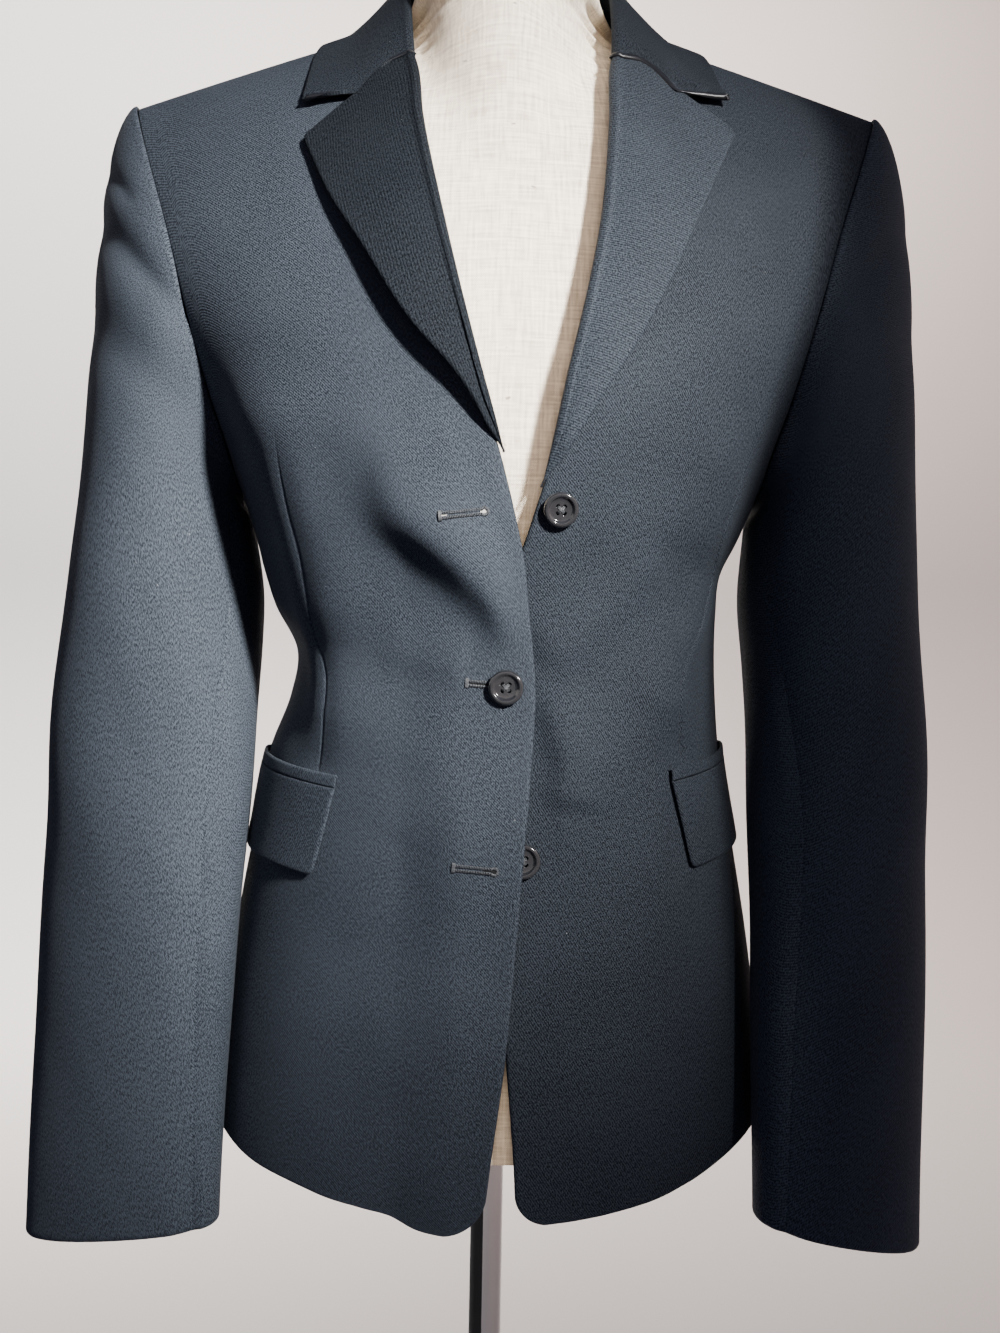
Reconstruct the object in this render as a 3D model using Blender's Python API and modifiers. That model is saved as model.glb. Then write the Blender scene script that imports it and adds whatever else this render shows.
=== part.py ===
"""A fitted single-breasted blazer on a limbless dress form.

Metres, +Z up. The wearer faces -Y, so the wearer's right is at -X. The origin is
on the floor at the centre of the stand's base. A position on the garment's shell
is given by an angle from the centre line round to the side seam, and by a level,
which is the height at the side.
"""

import math

import bmesh
import bpy
import numpy as np

# Cloth and seams
CLOTH = 0.002
SEAM = 0.0003

# Heights and widths that the rest is worked out from
UNDERARM = 1.135
TIP_X = 0.215
TIP_Z = 1.360
SHOULDER_SLOPE = 0.333
NECK_X = 0.070
NECK_ROUND = 0.030
BACK_NECK_Z = 1.388
SQUARENESS = 2.3
FRONT_ROUNDING = 1.8
BACK_ROUNDING = 2.6

RIGHT, LEFT = -1, 1
FRONT, BACK = "front", "back"


def table(columns, rows):
    """A table of numbers, as one array for each named column."""
    return dict(zip(columns.split(), np.array(rows, float).T))


# Horizontal sections of the shell: above the underarm the half width is that of
# the whole oval, which the armhole cuts.
RINGS = table("level half_width front back shift", [
    (0.740, 0.1595, 0.1080, 0.1180, 0.0000),
    (0.800, 0.1565, 0.1100, 0.1220, 0.0000),
    (0.850, 0.1520, 0.1100, 0.1220, 0.0000),
    (0.890, 0.1465, 0.1080, 0.1170, 0.0000),
    (0.945, 0.1370, 0.1050, 0.1040, 0.0000),
    (0.990, 0.1292, 0.1020, 0.0900, 0.0004),
    (1.020, 0.1226, 0.0990, 0.0830, 0.0046),
    (1.045, 0.1206, 0.0980, 0.0810, 0.0056),
    (1.070, 0.1272, 0.0990, 0.0830, -0.0006),
    (1.090, 0.1312, 0.1020, 0.0870, -0.0032),
    (1.110, 0.1387, 0.1060, 0.0910, -0.0010),
    (1.135, 0.1485, 0.1100, 0.0960, 0.0000),
    (1.150, 0.1550, 0.1110, 0.0990, 0.0000),
    (1.180, 0.1705, 0.1120, 0.1050, 0.0000),
    (1.230, 0.1980, 0.1090, 0.1100, 0.0000),
    (1.270, 0.2160, 0.1040, 0.1100, 0.0000),
    (1.310, 0.2330, 0.0980, 0.1060, 0.0000),
    (1.360, 0.2500, 0.0920, 0.1000, 0.0000),
])

# How far out from the centre the armhole seam runs, at each level.
ARMHOLES = table("level front back", [
    (1.135, 0.1485, 0.1485),
    (1.148, 0.1505, 0.1500),
    (1.180, 0.1605, 0.1580),
    (1.230, 0.1745, 0.1700),
    (1.270, 0.1860, 0.1810),
    (1.310, 0.1990, 0.1950),
    (1.360, 0.2150, 0.2150),
])

# How far each front's free edge and its roll line lie from the centre line,
# outwards on the front's own side: below zero it crosses the centre.
FRONT_EDGES = table("height right left", [
    (0.740, 0.0030, 0.0160),
    (0.785, -0.0018, 0.0137),
    (0.844, -0.0089, 0.0085),
    (0.893, -0.0126, 0.0050),
    (0.938, -0.0157, 0.0015),
    (0.985, -0.0190, -0.0050),
    (1.026, -0.0206, -0.0100),
    (1.060, -0.0175, -0.0030),
    (1.096, -0.0130, 0.0125),
    (1.116, -0.0085, 0.0190),
    (1.153, -0.0005, 0.0270),
    (1.190, 0.0100, 0.0345),
    (1.214, 0.0165, 0.0400),
    (1.267, 0.0296, 0.0498),
    (1.328, 0.0428, 0.0552),
    (1.372, 0.0500, 0.0575),
    (1.408, 0.0700, 0.0700),
])

# The hem's height from the front edge (0) round past the side seam (1) to the
# centre back (2), on each side.
HEMS = {
    RIGHT: table("turn height", [
        (0.00, 0.7515),
        (0.06, 0.7535),
        (0.12, 0.7590),
        (0.20, 0.7618),
        (0.30, 0.7645),
        (0.42, 0.7695),
        (0.56, 0.7745),
        (0.68, 0.7805),
        (1.00, 0.7925),
        (1.50, 0.7870),
        (2.00, 0.7800),
    ]),
    LEFT: table("turn height", [
        (0.00, 0.7565),
        (0.10, 0.7590),
        (0.20, 0.7622),
        (0.30, 0.7658),
        (0.40, 0.7712),
        (0.52, 0.7787),
        (0.64, 0.7850),
        (1.00, 0.7960),
        (1.50, 0.7880),
        (2.00, 0.7800),
    ]),
}
CORNER_RADIUS = {RIGHT: 0.020, LEFT: 0.015}

# Lapel edges: distance out from the centre line and height, from the break up
# to the point.
LAPEL_EDGES = {
    RIGHT: table("height out", [
        (1.148, 0.0020),
        (1.179, 0.0208),
        (1.205, 0.0445),
        (1.253, 0.0749),
        (1.275, 0.0883),
        (1.318, 0.1080),
    ]),
    LEFT: table("height out", [
        (1.131, 0.0265),
        (1.169, 0.0491),
        (1.203, 0.0700),
        (1.239, 0.0879),
        (1.257, 0.0956),
        (1.328, 0.1254),
    ]),
}
# Out and height of the gorge seam's inner end, the notch and the lapel's point.
GORGES = {
    RIGHT: {"inner": (0.0505, 1.3715), "notch": (0.0775, 1.3460), "point": (0.1080, 1.3180)},
    LEFT: {"inner": (0.0580, 1.3735), "notch": (0.0935, 1.3510), "point": (0.1254, 1.3280)},
}
ROLL_INSET = 0.0045
ROLL_BEGINS = 0.030
ROLL_FULL = 0.006
INSET_ENDS = (0.004, 0.030)
COLLAR_ROLL = 0.0026
COLLAR_AT_SHOULDER = 0.60
COLLAR_SEAM_RAISE = {BACK: 0.0020, FRONT: 0.0031}
COLLAR_SETBACK = 0.0012
GORGE_GAP = 0.0009
GORGE_BOW = {RIGHT: 0.0055, LEFT: 0.0080}
FALL_SAG = 0.0035
LAPEL_REST = 0.0041
LAPEL_ARCH = 0.0010
LAPEL_LEAST_WIDTH = 0.003
LAPEL_ROWS = 12
# The part of the lapel's height above which its rows bend towards the notch.
NOTCH_BEND_FROM = 0.55
# The lapel's outer face as it turns over the roll: out from the roll line, and
# raised from the front.
ROLL_SECTION = ((0.0022, -0.0012), (0.0002, 0.0010), (0.0008, 0.0036), (0.0036, 0.0052))

# Collar stations, from the centre back (0) past the shoulder seam to the gorge
# (1). Each has the centre of the fold and the outer edge, as out, y and height.
COLLAR_COLUMNS = "station fold_out fold_y fold_z edge_out edge_y edge_z"
COLLARS = {
    RIGHT: table(COLLAR_COLUMNS, [
        (0.00, 0.0000, 0.0540, 1.4340, 0.0000, 0.0960, 1.3720),
        (0.35, 0.0420, 0.0380, 1.4370, 0.0720, 0.0680, 1.3800),
        (0.60, 0.0585, 0.0000, 1.4385, 0.1025, 0.0060, 1.3980),
        (0.80, 0.0565, -0.0300, 1.4140, 0.1095, -0.0320, 1.3720),
        (1.00, 0.0520, -0.0480, 1.3760, 0.1112, -0.0550, 1.3440),
    ]),
    LEFT: table(COLLAR_COLUMNS, [
        (0.00, 0.0000, 0.0540, 1.4340, 0.0000, 0.0960, 1.3720),
        (0.35, 0.0420, 0.0380, 1.4370, 0.0720, 0.0680, 1.3800),
        (0.60, 0.0585, 0.0000, 1.4385, 0.1070, 0.0060, 1.3955),
        (0.80, 0.0605, -0.0300, 1.4140, 0.1180, -0.0320, 1.3695),
        (1.00, 0.0595, -0.0480, 1.3780, 0.1232, -0.0550, 1.3512),
    ]),
}

# Sleeve sections: the inner and the outer edge as out and y, and half the depth.
SLEEVE_COLUMNS = "height inner_out inner_y outer_out outer_y half_depth"
SLEEVES = {
    RIGHT: table(SLEEVE_COLUMNS, [
        (0.700, 0.1470, -0.0640, 0.2562, -0.0300, 0.0220),
        (0.760, 0.1450, -0.0680, 0.2563, -0.0230, 0.0260),
        (0.850, 0.1420, -0.0700, 0.2550, -0.0100, 0.0320),
        (0.955, 0.1410, -0.0540, 0.2508, 0.0000, 0.0400),
        (1.050, 0.1400, -0.0220, 0.2464, 0.0030, 0.0530),
        (1.078, 0.1410, -0.0120, 0.2450, 0.0040, 0.0570),
        (1.120, 0.1475, 0.0000, 0.2425, 0.0040, 0.0600),
    ]),
    LEFT: table(SLEEVE_COLUMNS, [
        (0.700, 0.1440, -0.0840, 0.2316, -0.0500, 0.0290),
        (0.760, 0.1440, -0.0840, 0.2322, -0.0400, 0.0320),
        (0.850, 0.1450, -0.0790, 0.2352, -0.0270, 0.0370),
        (0.955, 0.1510, -0.0570, 0.2347, -0.0070, 0.0450),
        (1.045, 0.1480, -0.0220, 0.2377, 0.0000, 0.0540),
        (1.078, 0.1455, -0.0120, 0.2388, 0.0020, 0.0570),
        (1.120, 0.1480, 0.0000, 0.2402, 0.0040, 0.0600),
    ]),
}
SLEEVE_HEAD = 1.120
CUFF_INNER = {RIGHT: 0.7390, LEFT: 0.7520}
CUFF_OUTER = {RIGHT: 0.7168, LEFT: 0.7285}
FRONT_SEAM_ANGLE = math.radians(26)
BACK_SEAM_ANGLE = math.radians(-95)
SLEEVE_SEAM_TURN = 0.0045

# A fold grows over the first part of its length and dies away over the last.
FOLD_START = (-0.15, 0.35)
FOLD_END = (0.70, 1.15)
# Folds die away between these parts of a front's width, and near the centre line.
FOLDS_FADE = (0.80, 0.97)
FOLDS_FROM_CENTRE = 0.030
# Soft folds of the fronts: both ends as out and height, half width and depth,
# raised above zero, sunk below it.
FOLD_COLUMNS = "out_0 height_0 out_1 height_1 half_width depth"
FRONT_FOLDS = {
    RIGHT: table(FOLD_COLUMNS, [
        (0.055, 1.165, -0.010, 1.070, 0.0170, -0.0035),
        (0.030, 1.150, -0.012, 1.090, 0.0120, 0.0020),
        (0.085, 1.060, 0.015, 1.035, 0.0130, 0.0018),
    ]),
    LEFT: table(FOLD_COLUMNS, [
        (0.075, 1.120, 0.020, 1.045, 0.0180, -0.0020),
        (0.070, 0.975, 0.022, 1.000, 0.0150, -0.0030),
        (0.090, 1.060, 0.030, 1.035, 0.0150, 0.0020),
    ]),
}

# Front overlap
OVERLAP_LIFT = 0.0031
OVERLAP_FROM = 0.050
OVERLAP_TO = 0.014
OVERLAP_ENDS = (0.075, 0.135)
BUTTON_LIFT = 0.0042
BUTTON_LIFT_REACH = 0.036

# Pockets: ends of the welt's top line as out and height, on each front
POCKETS = {
    RIGHT: {"inner": (0.0800, 0.9790), "outer_turn": 0.955, "outer_height": 0.9900},
    LEFT: {"inner": (0.0915, 0.9850), "outer_turn": 0.955, "outer_height": 0.9970},
}
WELT_HEIGHT = 0.0065
FLAP_HEIGHT = 0.0460
FLAP_LEAN = 0.0090
POCKET_STANDOFF = 0.0009
POCKET_COLUMNS = 9
POCKET_ROWS = 4

# Buttons: centre as x and height, with the front that each lies on
BUTTON_RADIUS = 0.0090
BUTTON_THICKNESS = 0.0034
BUTTON_HOLE_RADIUS = 0.0010
BUTTON_HOLE_SPACING = 0.0034
BUTTON_STEPS = 20
BUTTON_REST = 0.0005
BUTTON_TILT_SPAN = 0.003
BUTTONS = {
    "button_top": (LEFT, 0.0322, 1.1165),
    "button_middle": (RIGHT, 0.0005, 1.0260),
    "button_lower": (LEFT, 0.0155, 0.9390),
}

# Dress form, pole and base
FORM_BOTTOM = 0.7820
FORM_TOP = 1.5000
# Below the cloth's inner face at the shoulders
FORM_REST = 0.0007
NECK_RADIUS = 0.0500
NECK_RINGS = table("height half_width depth", [
    (1.4120, 0.0555, 0.0500),
    (1.4400, 0.0530, 0.0495),
    (1.4940, 0.0500, 0.0480),
    (1.5000, 0.0440, 0.0420),
])
NECK_CENTRE_Y = -0.0080
NECK_FROM = 1.285
NECK_FULL = 1.345
# Sections of the form below the underarm; above it, it follows the garment.
FORM_RINGS = table("height half_width front back", [
    (0.782, 0.1440, 0.0960, 0.1080),
    (0.850, 0.1390, 0.0980, 0.1100),
    (0.890, 0.1340, 0.0960, 0.1050),
    (0.945, 0.1230, 0.0930, 0.0920),
    (1.000, 0.1140, 0.0890, 0.0770),
    (1.045, 0.1090, 0.0860, 0.0690),
    (1.090, 0.1180, 0.0890, 0.0750),
    (1.135, 0.1330, 0.0970, 0.0840),
])
FORM_HALF_WIDTH = 0.166
FORM_DEPTH = 0.87
FORM_DROP = 0.0050
FORM_CHEST_FULL = 1.280
FORM_CHEST = (1.165, 1.200, 1.240, 1.280, 1.315, 1.345)
FORM_SHOULDER_OUT = (0.166, 0.140, 0.115, 0.090, 0.070)
POLE_RADIUS = 0.0095
BASE_RADIUS = 0.160
BASE_HEIGHT = 0.008
BASE_BEVEL = 0.004
POLE_STEPS = 24
BASE_STEPS = 48


# --- Reading the tables -----------------------------------------------------

def smooth(tab, key, column, where):
    """A smooth curve through a table's column, held level past its ends."""
    xs, ys = tab[key], tab[column]
    where = np.clip(np.asarray(where, float), xs[0], xs[-1])
    slopes = np.gradient(ys, xs)
    i = np.clip(np.searchsorted(xs, where, side="right") - 1, 0, len(xs) - 2)
    step = xs[i + 1] - xs[i]
    t = (where - xs[i]) / step
    return (
        ys[i] * (1 + 2 * t) * (1 - t) ** 2
        + ys[i + 1] * (3 - 2 * t) * t ** 2
        + step * (slopes[i] * t * (1 - t) ** 2 - slopes[i + 1] * t ** 2 * (1 - t))
    )


def blend(start, end, x):
    """Zero before start and one after end, with a soft change between."""
    t = np.clip((np.asarray(x, float) - start) / (end - start), 0, 1)
    return t * t * (3 - 2 * t)


def unit(vectors):
    return vectors / np.linalg.norm(vectors, axis=-1, keepdims=True)


# --- The garment's shell ----------------------------------------------------

def shoulder_height(out):
    """The shoulder seam's line, which rounds off over the neck."""
    return TIP_Z + SHOULDER_SLOPE * (math.hypot(TIP_X, NECK_ROUND) - np.hypot(out, NECK_ROUND))


def rounding(face):
    return FRONT_ROUNDING if face == FRONT else BACK_ROUNDING


def last_rise(face):
    """The climb that stops half a gap short of the shoulder seam."""
    return (1 - SEAM_DEPTH ** rounding(face)) ** (1 / rounding(face))


def climb(level):
    """How far a level has gone from the underarm to the shoulder seam."""
    return np.clip((level - UNDERARM) / (TIP_Z - UNDERARM), 0, 1)


def shell_point(face, side, angle, level):
    """The cloth's outer face: angle 0 is the centre line, a quarter turn the side."""
    level = np.asarray(level, float)
    angle = np.asarray(angle, float)
    power = 2 / SQUARENESS
    out = (
        smooth(RINGS, "level", "half_width", level)
        * np.sign(angle) * np.abs(np.sin(angle)) ** power
    )
    risen = climb(level)
    z = np.where(
        level <= UNDERARM,
        level,
        UNDERARM + (shoulder_height(out) - UNDERARM) * risen,
    )
    turn_in = rounding(face)
    depth = (
        smooth(RINGS, "level", face, level)
        * np.abs(np.cos(angle)) ** power
        * (1 - risen ** turn_in) ** (1 / turn_in)
    )
    x = side * out + smooth(RINGS, "level", "shift", level)
    y = -depth if face == FRONT else depth
    return np.stack([x + 0 * z, y, z], axis=-1)


def shell_normal(face, side, angle, level):
    """The outward direction on the shell."""
    step = 1e-4
    most = TIP_Z
    low = np.clip(np.asarray(level, float) - step, None, most)
    high = np.clip(np.asarray(level, float) + step, None, most)
    before = np.asarray(angle, float) - step
    after = np.minimum(np.asarray(angle, float) + step, math.pi / 2)
    up = shell_point(face, side, angle, high) - shell_point(face, side, angle, low)
    round_ = shell_point(face, side, after, level) - shell_point(face, side, before, level)
    normal = unit(np.cross(round_, up))
    return normal * (side if face == FRONT else -side)


def place(out, level):
    """The angle that puts a level's point this far out."""
    ratio = np.clip(np.abs(out) / smooth(RINGS, "level", "half_width", level), 0, 1)
    return np.sign(out) * np.arcsin(ratio ** (SQUARENESS / 2))


def level_of(out, height):
    """The level whose line passes through a point seen from the front."""
    risen = (height - UNDERARM) / (shoulder_height(out) - UNDERARM)
    top = 1 - 1e-6
    return np.where(
        height <= UNDERARM,
        height,
        UNDERARM + (TIP_Z - UNDERARM) * np.clip(risen, 0, top),
    )


def on_shell(face, side, out, height, raised=0.0):
    """A point on the shell at a place seen from the front, moved out."""
    out = np.asarray(out, float)
    height = np.asarray(height, float)
    level = level_of(out, height)
    angle = place(out, level)
    point = shell_point(face, side, angle, level)
    normal = shell_normal(face, side, angle, level)
    return point + normal * np.asarray(raised)[..., None]


def armhole_angle(face, level):
    out = smooth(ARMHOLES, "level", face, level)
    angle = place(out, level)
    return np.where(level <= UNDERARM, math.pi / 2, angle)


def folds(tab, out, height):
    """How far the soft folds move the cloth out at a place."""
    moved = np.zeros(np.broadcast(out, height).shape)
    for i in range(len(tab["depth"])):
        start = np.array([tab["out_0"][i], tab["height_0"][i]])
        end = np.array([tab["out_1"][i], tab["height_1"][i]])
        along = end - start
        length = np.linalg.norm(along)
        along = along / length
        dx, dz = out - start[0], height - start[1]
        t = (dx * along[0] + dz * along[1]) / length
        across = dx * along[1] - dz * along[0]
        ends = blend(*FOLD_START, t) * (1 - blend(*FOLD_END, t))
        moved = moved + tab["depth"][i] * ends * np.exp(-(across / tab["half_width"][i]) ** 2)
    return moved


def front_raise(side, out, height):
    """Folds, and on the right front the lift over the left one and its button."""
    raised = folds(FRONT_FOLDS[side], out, height) * blend(0.0, FOLDS_FROM_CENTRE, out)
    if side == RIGHT:
        over = 1 - blend(OVERLAP_TO, OVERLAP_FROM, out)
        low, high = BUTTONS["button_lower"][2], BUTTONS["button_middle"][2]
        by_button = np.exp(-((height - low) / BUTTON_LIFT_REACH) ** 2)
        top = 1 - blend(high + OVERLAP_ENDS[0], high + OVERLAP_ENDS[1], height)
        raised = raised + over * (OVERLAP_LIFT * top + BUTTON_LIFT * by_button)
    return raised


def on_front(side, out, height, raised=0.0):
    return on_shell(FRONT, side, out, height, front_raise(side, out, height) + raised)


# --- Making meshes ----------------------------------------------------------

COLLECTION = bpy.data.collections.new("blazer_on_dress_form")
CUTTERS = bpy.data.collections.new("cutters")


def start_scene():
    for thing in list(bpy.data.objects):
        bpy.data.objects.remove(thing, do_unlink=True)
    for group in (COLLECTION, CUTTERS):
        bpy.context.scene.collection.children.link(group)


def material(name, colour, roughness, metallic=0.0):
    made = bpy.data.materials.new(name)
    made.use_nodes = True
    shader = made.node_tree.nodes["Principled BSDF"]
    shader.inputs["Base Color"].default_value = (*colour, 1.0)
    shader.inputs["Roughness"].default_value = roughness
    shader.inputs["Metallic"].default_value = metallic
    return made


WOOL = (0.020, 0.024, 0.032)
BUTTON_BLACK = (0.012, 0.013, 0.016)
LINEN = (0.72, 0.62, 0.50)
CHROME = (0.75, 0.76, 0.78)
STEEL = (0.55, 0.56, 0.58)


def add_object(name, mesh, colour, roughness, metallic=0.0):
    thing = bpy.data.objects.new(name, mesh)
    thing.data.materials.append(material(name, colour, roughness, metallic))
    COLLECTION.objects.link(thing)
    return thing


def grid_mesh(name, points, flip=False, closed=False):
    """A mesh through rows of points; closed joins each row's ends."""
    rows, columns = points.shape[:2]
    mesh = bpy.data.meshes.new(name)
    grid = bmesh.new()
    made = [[grid.verts.new(point) for point in row] for row in points]
    for r in range(rows - 1):
        for c in range(columns if closed else columns - 1):
            d = (c + 1) % columns
            corners = [made[r][c], made[r][d], made[r + 1][d], made[r + 1][c]]
            grid.faces.new(corners[::-1] if flip else corners)
    grid.to_mesh(mesh)
    grid.free()
    mesh.shade_smooth()
    return mesh


def cloth(name, points, flip=False):
    """A wall of cloth on the back of the faces through rows of points; flip turns them round."""
    thing = add_object(name, grid_mesh(name, points, flip), WOOL, 0.75)
    wall = thing.modifiers.new("wall", "SOLIDIFY")
    wall.thickness = CLOTH
    wall.offset = -1
    return thing


def spread(count, strip):
    """Even steps from 0 to 1, with a narrow strip beside each end."""
    inner = np.linspace(0, 1, count + 1)[1:-1]
    return np.concatenate([[0, strip], inner, [1 - strip, 1]])


# --- Fronts and backs -------------------------------------------------------

FRONT_COLUMNS = 12
FRONT_ROWS_BELOW = 13
FRONT_ROWS_ABOVE = 10
BACK_COLUMNS = 11
NECK_COLUMNS = 5
BACK_ROWS_BELOW = 10
BACK_ROWS_ABOVE = 9
# Narrow strips of the grids beside their ends, as parts of the whole
FRONT_STRIP = 0.010
BACK_STRIP = 0.006
SLEEVE_STRIP = 0.016
ARMHOLE_STRIP = 0.020
SHOULDER_STRIP = 0.018
ROWS_CROWD = 1.7
SIDE_SEAM_SPREAD = 1.6
CORNER_STEPS = (0.0, 0.0012, 0.0045, 0.0100, 0.0180)
# The part of the depth that is left at the last row before the shoulder seam.
SEAM_DEPTH = 0.0050
INNER_STEPS = 8


def rows_above(count):
    """Steps up from the underarm, close together where the armhole turns sharply."""
    turns = np.linspace(0, 1, count + 1)[1:] ** ROWS_CROWD
    return [*turns[:-1], 1 - SHOULDER_STRIP, 1.0]


def side_angle(level):
    """The side seam's angle, half a seam's gap short of the quarter turn."""
    return math.pi / 2 - SEAM / 2 / smooth(RINGS, "level", FRONT, level) * SIDE_SEAM_SPREAD


def hem_height(side, turn):
    return smooth(HEMS[side], "turn", "height", turn)


def front_edge(side, height):
    """The visible edge: the free edge, and above the break the roll line."""
    name = "right" if side == RIGHT else "left"
    return smooth(FRONT_EDGES, "height", name, height)


def front_inner(side, height):
    """Where the front itself ends: inside the roll where the lapel turns over."""
    start = LAPEL_EDGES[side]["height"][0]
    top = GORGES[side]["inner"][1]
    begun = blend(start - ROLL_BEGINS, start - ROLL_FULL, height)
    ended = blend(top + INSET_ENDS[0], top + INSET_ENDS[1], height)
    return front_edge(side, height) + ROLL_INSET * begun * (1 - ended)


def shifted(side, out, level):
    """Out from the centre line, as out from the middle of the ring."""
    return out - side * smooth(RINGS, "level", "shift", level)


def front_rows(side):
    """The front's levels, as steps up from the hem and then up from the underarm."""
    radius = CORNER_RADIUS[side]
    hem = hem_height(side, 0.0)
    corner = [step * radius / CORNER_STEPS[-1] for step in CORNER_STEPS]
    rest = np.linspace(radius, UNDERARM - hem, FRONT_ROWS_BELOW + 1)[1:]
    below = [("below", dz / (UNDERARM - hem), dz) for dz in [*corner, *rest]]
    turns = rows_above(FRONT_ROWS_ABOVE)
    above = [("above", math.sin(math.pi / 2 * turn) ** (2 / FRONT_ROUNDING), 0) for turn in turns]
    return below + above


def front_points(side):
    columns = spread(FRONT_COLUMNS, FRONT_STRIP)
    radius = CORNER_RADIUS[side]
    grid = []
    for part, rise, dz in front_rows(side):
        if part == "below":
            hem = hem_height(side, columns)
            level = hem + (UNDERARM - hem) * rise
            inner_level = level[0]
            inset = radius - math.sqrt(max(radius ** 2 - max(radius - dz, 0) ** 2, 0))
            inner = front_inner(side, inner_level) + inset
            outer_angle = side_angle(level[-1])
        else:
            rise = min(rise, last_rise(FRONT))
            level = np.full(len(columns), UNDERARM + (TIP_Z - UNDERARM) * rise)
            inner_level = level[0]
            inner = NECK_X
            for _ in range(INNER_STEPS):
                height = UNDERARM + (shoulder_height(inner) - UNDERARM) * rise
                inner = front_inner(side, height)
            outer_angle = armhole_angle(FRONT, level[-1])
        inner_angle = place(shifted(side, inner, inner_level), inner_level)
        angle = inner_angle + (outer_angle - inner_angle) * columns
        point = shell_point(FRONT, side, angle, level)
        normal = shell_normal(FRONT, side, angle, level)
        out = side * point[:, 0]
        raised = front_raise(side, out, point[:, 2])
        raised = raised * (1 - blend(*FOLDS_FADE, columns))
        grid.append(point + normal * raised[:, None])
    return np.array(grid)


def back_points(side):
    neck_angle = place(NECK_X, TIP_Z)
    armhole_top = armhole_angle(BACK, TIP_Z)
    neck_part = float(neck_angle / armhole_top)
    neck_turns = np.linspace(0, math.pi / 2, NECK_COLUMNS + 1)[1:]
    columns = np.concatenate([
        [0, BACK_STRIP],
        neck_part * np.sin(neck_turns),
        np.linspace(neck_part, 1, BACK_COLUMNS - NECK_COLUMNS + 1)[1:-1],
        [1 - FRONT_STRIP, 1],
    ])
    out_at_top = smooth(RINGS, "level", "half_width", TIP_Z) * (
        np.sin(columns * armhole_top) ** (2 / SQUARENESS)
    )
    neck_z = back_neck_height(out_at_top)
    top = np.where(
        columns < neck_part - 1e-9,
        (neck_z - UNDERARM) / (shoulder_height(out_at_top) - UNDERARM),
        last_rise(BACK),
    )
    grid = []
    for rise in spread(BACK_ROWS_BELOW, BACK_STRIP):
        hem = hem_height(side, 2 - columns)
        level = hem + (UNDERARM - hem) * rise
        angle = columns * side_angle(level[-1])
        grid.append(shell_point(BACK, side, angle, level))
    for turn in rows_above(BACK_ROWS_ABOVE):
        most = np.arcsin(top ** (BACK_ROUNDING / 2))
        rise = np.sin(most * turn) ** (2 / BACK_ROUNDING)
        level = UNDERARM + (TIP_Z - UNDERARM) * rise
        angle = columns * armhole_angle(BACK, level[-1])
        grid.append(shell_point(BACK, side, angle, level))
    grid = np.array(grid)
    # The centre back seam's gap
    grid[:, 0, 0] += side * SEAM / 2
    return grid


# --- Sleeves ----------------------------------------------------------------

CAP_ROWS = 7
ARM_ROWS = 9
TOP_SLEEVE_COLUMNS = 13
UNDER_SLEEVE_COLUMNS = 9
ARMHOLE_GAP = 0.0007
UNDERARM_EXTRA_GAP = 0.0018
CAP_PUSH = (0.070, 0.0, -0.055)
UNDERARM_PUSH = (0.014, 0.0, -0.030)
CAP_BULGE = 0.022
CAP_TANGENT_STEP = 0.020
CAP_PULL = 1.1
ARMHOLE_POINTS = 120


def armhole_loop(side, angle):
    """The armhole seam: 0 at the underarm, then the front, the tip and the back."""
    turns = np.linspace(0, 1, ARMHOLE_POINTS)
    halves = {}
    for face in (FRONT, BACK):
        rise = np.minimum(np.sin(turns * math.pi / 2) ** (2 / rounding(face)), last_rise(face))
        level = UNDERARM + (TIP_Z - UNDERARM) * rise
        points = shell_point(face, side, armhole_angle(face, level), level)
        lengths = np.linalg.norm(np.diff(points, axis=0), axis=1)
        run = np.concatenate([[0], np.cumsum(lengths)])
        halves[face] = (run / run[-1], points)
    angle = np.mod(angle, 2 * math.pi)
    part = np.where(angle <= math.pi, angle, 2 * math.pi - angle) / math.pi
    found = [
        np.stack([np.interp(part, *(run, points[:, k])) for k in range(3)], axis=-1)
        for run, points in (halves[FRONT], halves[BACK])
    ]
    return np.where((angle <= math.pi)[..., None], found[0], found[1])


def sleeve_ring(side, angle, height):
    """A section of a sleeve's inner face: 0 is its inner edge, a quarter turn its front."""
    tab = SLEEVES[side]
    inner_out = smooth(tab, "height", "inner_out", height)
    inner_y = smooth(tab, "height", "inner_y", height)
    outer_out = smooth(tab, "height", "outer_out", height)
    outer_y = smooth(tab, "height", "outer_y", height)
    depth = smooth(tab, "height", "half_depth", height)
    half_out, half_y = (outer_out - inner_out) / 2, (outer_y - inner_y) / 2
    half = np.hypot(half_out, half_y)
    forward_out, forward_y = half_y / half, -half_out / half
    out = (inner_out + outer_out) / 2 - half_out * np.cos(angle) + forward_out * depth * np.sin(angle)
    y = (inner_y + outer_y) / 2 - half_y * np.cos(angle) + forward_y * depth * np.sin(angle)
    return np.stack([side * out, y, height + 0 * out], axis=-1)


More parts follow.
